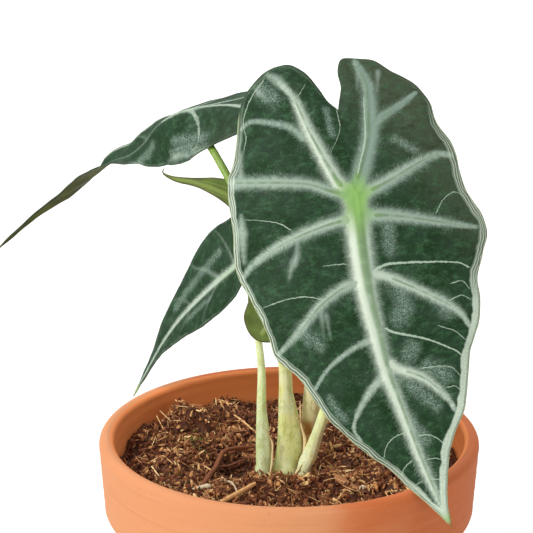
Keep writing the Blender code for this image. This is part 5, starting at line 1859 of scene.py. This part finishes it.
@dataclass(frozen=True)
class PaperFinish:
    """The dry papery edge of a sheath: cream with brown streaks."""

    cream: tuple = tint(240, 222, 172)
    brown: tuple = tint(170, 120, 70)

    def material(self) -> bpy.types.Material:
        """Wire the paper."""
        look = Look("sheath_paper")
        streak = grain_of(stretch(look.place(), 1500, 1500, 260), 1, 3)
        edge = streak * 0.8 + look.read("rim")
        colour = layer(self.cream, (rise(edge, 0.8, 1.3, 0.1, 0.9), self.brown))
        return look.finish(colour, rise(streak, 0.2, 0.8, 0.5, 0.7), None, 0.3)


@dataclass(frozen=True)
class ClayFinish:
    """Dry unglazed terracotta: turning lines, pits and mineral bloom, with painted light: paler towards the key light,
    and a paler lip where the inner wall and the lip's inner edge are painted brighter.
    """

    clay: tuple = tint(202, 108, 57)
    # Paler clay: random mottles, and a painted highlight on the side towards the key light.
    pale: tuple = tint(214, 144, 98)
    red: tuple = tint(178, 84, 42)
    bloom: tuple = tint(214, 176, 136)
    hollow_dark: tuple = tint(150, 74, 40)
    # Painted light: a brighter orange for the inner wall and the lip's inner edge.
    inner: tuple = tint(255, 152, 86)

    def material(self, specks: bpy.types.NodeTree) -> bpy.types.Material:
        """Wire the fired clay."""
        look = Look("terracotta")
        place = look.place()
        x, y, z = split(place)
        # Painted highlight: paler towards the front left, where the key light falls, over a random mottle.
        cloud = grain_of(place, 26, 3) + rise(y * 0.6 + x, -0.075, 0.03, 0.34, -0.22)
        turned = grain_of(stretch(place, 16, 16, 520), 1, 3, 0.6)
        grit = grain_of(place, 1500, 3, 0.7)
        pits, = effect(specks, Place=stretch(place, 620, 620, 620), Size=0.22, Share=0.06)
        # Painted light: the inner wall and the lip's inner edge are painted brighter.
        within = rise(work("SQRT", x * x + y * y), 0.07, 0.0712, 0.9, 0) * rise(z, 0.1035, 0.1055)
        colour = layer(
            self.clay,
            (rise(cloud, 0.3, 0.7), self.pale),
            (rise(turned, 0.52, 0.8, 0, 0.22), self.red),
            (rise(turned, 0.22, 0.42, 0.15, 0), self.bloom),
            (rise(grit, 0.5, 0.8, 0, 0.22), self.bloom),
            (pits * 0.4, self.hollow_dark),
            (within, self.inner),
        )
        height = grit * 0.35 + turned - pits * 0.8
        return look.finish(colour, rise(grit, 0.3, 0.8, 0.68, 0.86), relief(height, 0.35, 0.0004), 0.3)


@dataclass(frozen=True)
class CoirFinish:
    """Shredded coir and peat: each bit its own brown."""

    # The darkest peat; on the bed it is also painted shade in the gaps between the bits.
    black: tuple = tint(46, 23, 12)
    brown: tuple = tint(132, 76, 46)
    tan: tuple = tint(208, 154, 98)
    straw: tuple = tint(244, 206, 146)
    chalk: tuple = tint(206, 188, 158)
    moss: tuple = tint(116, 114, 48)

    def material(self) -> bpy.types.Material:
        """Wire the potting mix."""
        look = Look("coir_soil")
        grain = grain_of(look.place(), 1400, 3, 0.7)
        shade = (grain - 0.5) * 0.5 + look.read("shade")
        colour = layer(
            self.black,
            (rise(shade, 0, 0.4), self.brown),
            (rise(shade, 0.35, 0.75), self.tan),
            (rise(shade, 0.75, 1), self.straw),
            (rise(shade, 1, 1.25), self.chalk),
            (rise(shade, -0.4, -0.2, 0.8, 0), self.moss),
        )
        return look.finish(colour, rise(grain, 0.3, 0.8, 0.7, 0.95), relief(grain, 0.5, 0.0004), 0.3)


@dataclass
class Studio:
    """A pale floor, soft lights and the photograph's camera."""

    camera_place: tuple = (-0.0089, -0.8326, 0.4804)
    camera_pitch: float = 18.37
    lens: float = 153.64
    sensor: float = 36.0
    floor_size: float = 12.0
    floor_colour: tuple = tint(240, 240, 238)
    room_light: float = 0.32

    def make_camera(self) -> None:
        """Stand the camera at the photograph's viewpoint."""
        turn = (math.radians(90.0 - self.camera_pitch), 0.0, 0.0)
        bpy.ops.object.camera_add(location=self.camera_place, rotation=turn)
        camera = named("photo_camera")
        camera.data.lens = self.lens
        camera.data.sensor_width = self.sensor
        camera.data.clip_start = 0.01
        camera.data.clip_end = 50.0
        camera.data.dof.use_dof = False
        bpy.context.scene.camera = camera

    def make_floor(self) -> None:
        """Lay the plain pale floor."""
        bpy.ops.mesh.primitive_plane_add(size=self.floor_size)
        floor = named("pale_floor")
        floor.data.materials.append(Look("pale_floor").finish(self.floor_colour, 0.8, None, 0.5))

    def add_light(self, name: str, place: tuple, aim: tuple, size: float, power: float, colour: tuple) -> None:
        """Hang one soft area light.

        Args:
            name: The light's name.
            place: Where it hangs.
            aim: The point that it faces.
            size: The length of its square side.
            power: Its power in watts.
            colour: Its colour.
        """
        bpy.ops.object.light_add(type="AREA", location=place)
        light = named(name)
        light.rotation_euler = (Vector(aim) - Vector(place)).to_track_quat("-Z", "Y").to_euler()
        light.data.size = size
        light.data.energy = power
        light.data.color = colour

    def light(self) -> None:
        """Hang the key light at the upper left, a broad fill and a bright room."""
        aim = (0.0, 0.0, 0.15)
        self.add_light("key_light", (-2.2, -1.9, 2.3), aim, 1.5, 108.0, (1.0, 0.985, 0.96))
        self.add_light("fill_light", (1.6, -1.8, 1.0), aim, 1.6, 6.0, (0.97, 0.985, 1.0))
        self.add_light("floor_light", (0.0, 1.7, 1.9), (0.0, 1.7, 0.0), 2.6, 62.0, (1.0, 1.0, 1.0))
        world = bpy.data.worlds.new("bright_room")
        world.use_nodes = True
        background = world.node_tree.nodes["Background"]
        background.inputs["Color"].default_value = (1.0, 1.0, 1.0, 1.0)
        background.inputs["Strength"].default_value = self.room_light
        bpy.context.scene.world = world
        bpy.context.scene.view_settings.view_transform = "Standard"


BLADES = (
    Blade(FRONT_LEAF, FRONT_VEINS, FRONT_HEMS, mesh=0.62, web=0.8, fresh=1.0),
    Blade(HIGH_LEAF, HIGH_VEINS, HIGH_HEMS, mesh=0.55, margin_ripple=0.0002, wobble=0.15),
    Blade(LOW_LEAF, LOW_VEINS, PLAIN_HEMS, mesh=0.6, margin_ripple=0.0002, wobble=0.15),
    Blade(BACK_LEAF, BACK_VEINS, PLAIN_HEMS, mesh=0.6, margin_ripple=0.0002, wobble=0.15),
)

DRAB = UndersideFinish("drab_underside", tint(78, 84, 14), tint(56, 62, 10), tint(98, 104, 34), tint(50, 48, 22), 0.12)

# Painted light: the stalks' colours are painted lighter than the stalks are, to make up for the shade of the blades
# over them; the front stalk's streaks too.
STALK_COLOURS_WITH_PAINTED_LIGHT = {
    "front_leaf_petiole": StalkFinish(
        "stalk_front", tint(250, 255, 204), tint(240, 254, 186), tint(170, 204, 106), 26.0, vein=tint(214, 224, 136)),
    "high_leaf_petiole": StalkFinish(
        "stalk_high", tint(226, 232, 160), tint(230, 232, 150), tint(118, 154, 50), 40.0),
    "low_leaf_petiole": StalkFinish(
        "stalk_low", tint(212, 232, 172), tint(218, 232, 162), tint(150, 182, 84), 50.0),
    "back_leaf_petiole": StalkFinish(
        "stalk_back", tint(252, 234, 184), tint(255, 248, 206), tint(160, 182, 94), 30.0, (3.0, 20.0)),
}

CURLS = Litter(
    "coir_curls", count=4200, smallest=0.0018, largest=0.0052, slimness=(0.13, 0.34), sink=0.3, pile=0.002, tilt=0.9,
    shades=(0.18, 0.28, 0.38, 0.46, 0.6, 0.85), seed=5)
FLAKES = Litter(
    "coir_flakes", count=2400, smallest=0.0012, largest=0.0034, slimness=(0.3, 0.6), sink=0.1, pile=0.0012, tilt=0.7,
    shades=(0.15, 0.25, 0.34, 0.45, 0.6, 0.75), seed=8)
CRUMBS = Litter(
    "coir_crumbs", count=4000, smallest=0.0008, largest=0.0027, slimness=(0.55, 1.0), sink=0.15, pile=0.0008, tilt=0.6,
    shades=(0.15, 0.25, 0.35, 0.45, 0.6), seed=11)
FIBRES = Litter(
    "coir_fibres", count=420, smallest=0.003, largest=0.007, slimness=(0.05, 0.08), sink=4.0, pile=0.0022, tilt=0.45,
    shades=(0.3, 0.5, 0.65, 0.85, 1.0), seed=23)

# How far the bits' models curl, in degrees, and their thickness as a share of their width
CURL_BENDS = ((150.0, 0.5), (210.0, 0.35), (260.0, 0.4), (90.0, 0.3))
FLAKE_BENDS = ((60.0, 0.25), (110.0, 0.18), (30.0, 0.35))
FIBRE_BENDS = (70.0, 130.0, 30.0)

PAPERS = (
    Paper("low_sheath_edge", ((-9.4, -10.6, 141), (-8, -10.2, 138), (-6.6, -9.8, 134), (-6.8, -10.2, 127.5),
                              (-7.6, -10.8, 120.5)), (0.3, 0.9, 1.1, 1, 0.8), (0.8, -0.6)),
    Paper("high_sheath_edge", ((4.2, -5, 150), (4.6, -6, 141), (5.9, -6.6, 135.2), (5.6, -7.4, 128.3),
                               (3.9, -8.6, 124), (2.2, -9.6, 120.5)), (0.3, 0.9, 1.5, 1.4, 1.2, 0.9), (0.9, -0.4)),
    Paper("high_sheath_sliver", ((1.9, -7.4, 146.4), (3, -7.2, 144), (3.9, -7, 141.7)),
          (0.3, 0.8, 0.3), (0.7, -0.7)),
    Paper("front_sheath_edge", ((5.2, -13.6, 127), (3.8, -13.8, 124.2), (2.6, -13.6, 121.2)),
          (0.4, 0.9, 0.7), (-0.7, -0.7)),
)


def main() -> None:
    """Build the dressed plant piece by piece."""
    logging.basicConfig(level=logging.INFO, format="%(message)s")
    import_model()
    bpy.ops.object.select_all(action="DESELECT")
    studio = Studio()
    studio.make_camera()
    studio.make_floor()
    studio.light()
    felt, specks = felt_effect(), speckle_effect()

    pot = Pot().build()
    pot.data.materials.append(ClayFinish().material(specks))
    hand_over(pot, "terracotta", "pot")

    soil = Soil()
    coir = CoirFinish().material()
    bed = soil.bed()
    bed.data.materials.append(coir)
    hand_over(bed, "coir_soil", "soil")
    curls = [soil.shred_model(bend, sides=4, parts=4, flat=flat) for bend, flat in CURL_BENDS]
    flakes = [soil.shred_model(bend, sides=4, parts=3, flat=flat) for bend, flat in FLAKE_BENDS]
    fibres = [soil.shred_model(bend, sides=3, parts=6, flat=1.0) for bend in FIBRE_BENDS]
    crumbs = [soil.crumb_model(turn) for turn in range(4)]
    strewn = [soil.strew(litter, models) for litter, models in (
        (CURLS, curls), (FLAKES, flakes), (CRUMBS, crumbs), (FIBRES, fibres))]
    for bits in (*strewn, soil.lay_sticks()):
        bits.data.materials.append(coir)
        hand_over(bits, "coir_soil")

    upper, under, drab = BladeFinish().material(felt, specks), UndersideFinish().material(), DRAB.material()
    for blade in BLADES:
        back = drab if blade.leaf is HIGH_LEAF else under
        hand_over(blade.build(upper, back), "blade_green", blade.leaf.name)

    for petiole in PETIOLES:
        stalk = Stalk(petiole).build()
        stalk.data.materials.append(STALK_COLOURS_WITH_PAINTED_LIGHT[petiole.name].material(specks))
        hand_over(stalk, "petiole_green", petiole.name)
    husk = PaperFinish().material()
    for paper in PAPERS:
        ribbon = paper.build()
        ribbon.data.materials.append(husk)
        hand_over(ribbon, "petiole_green")


if __name__ == "__main__":
    main()
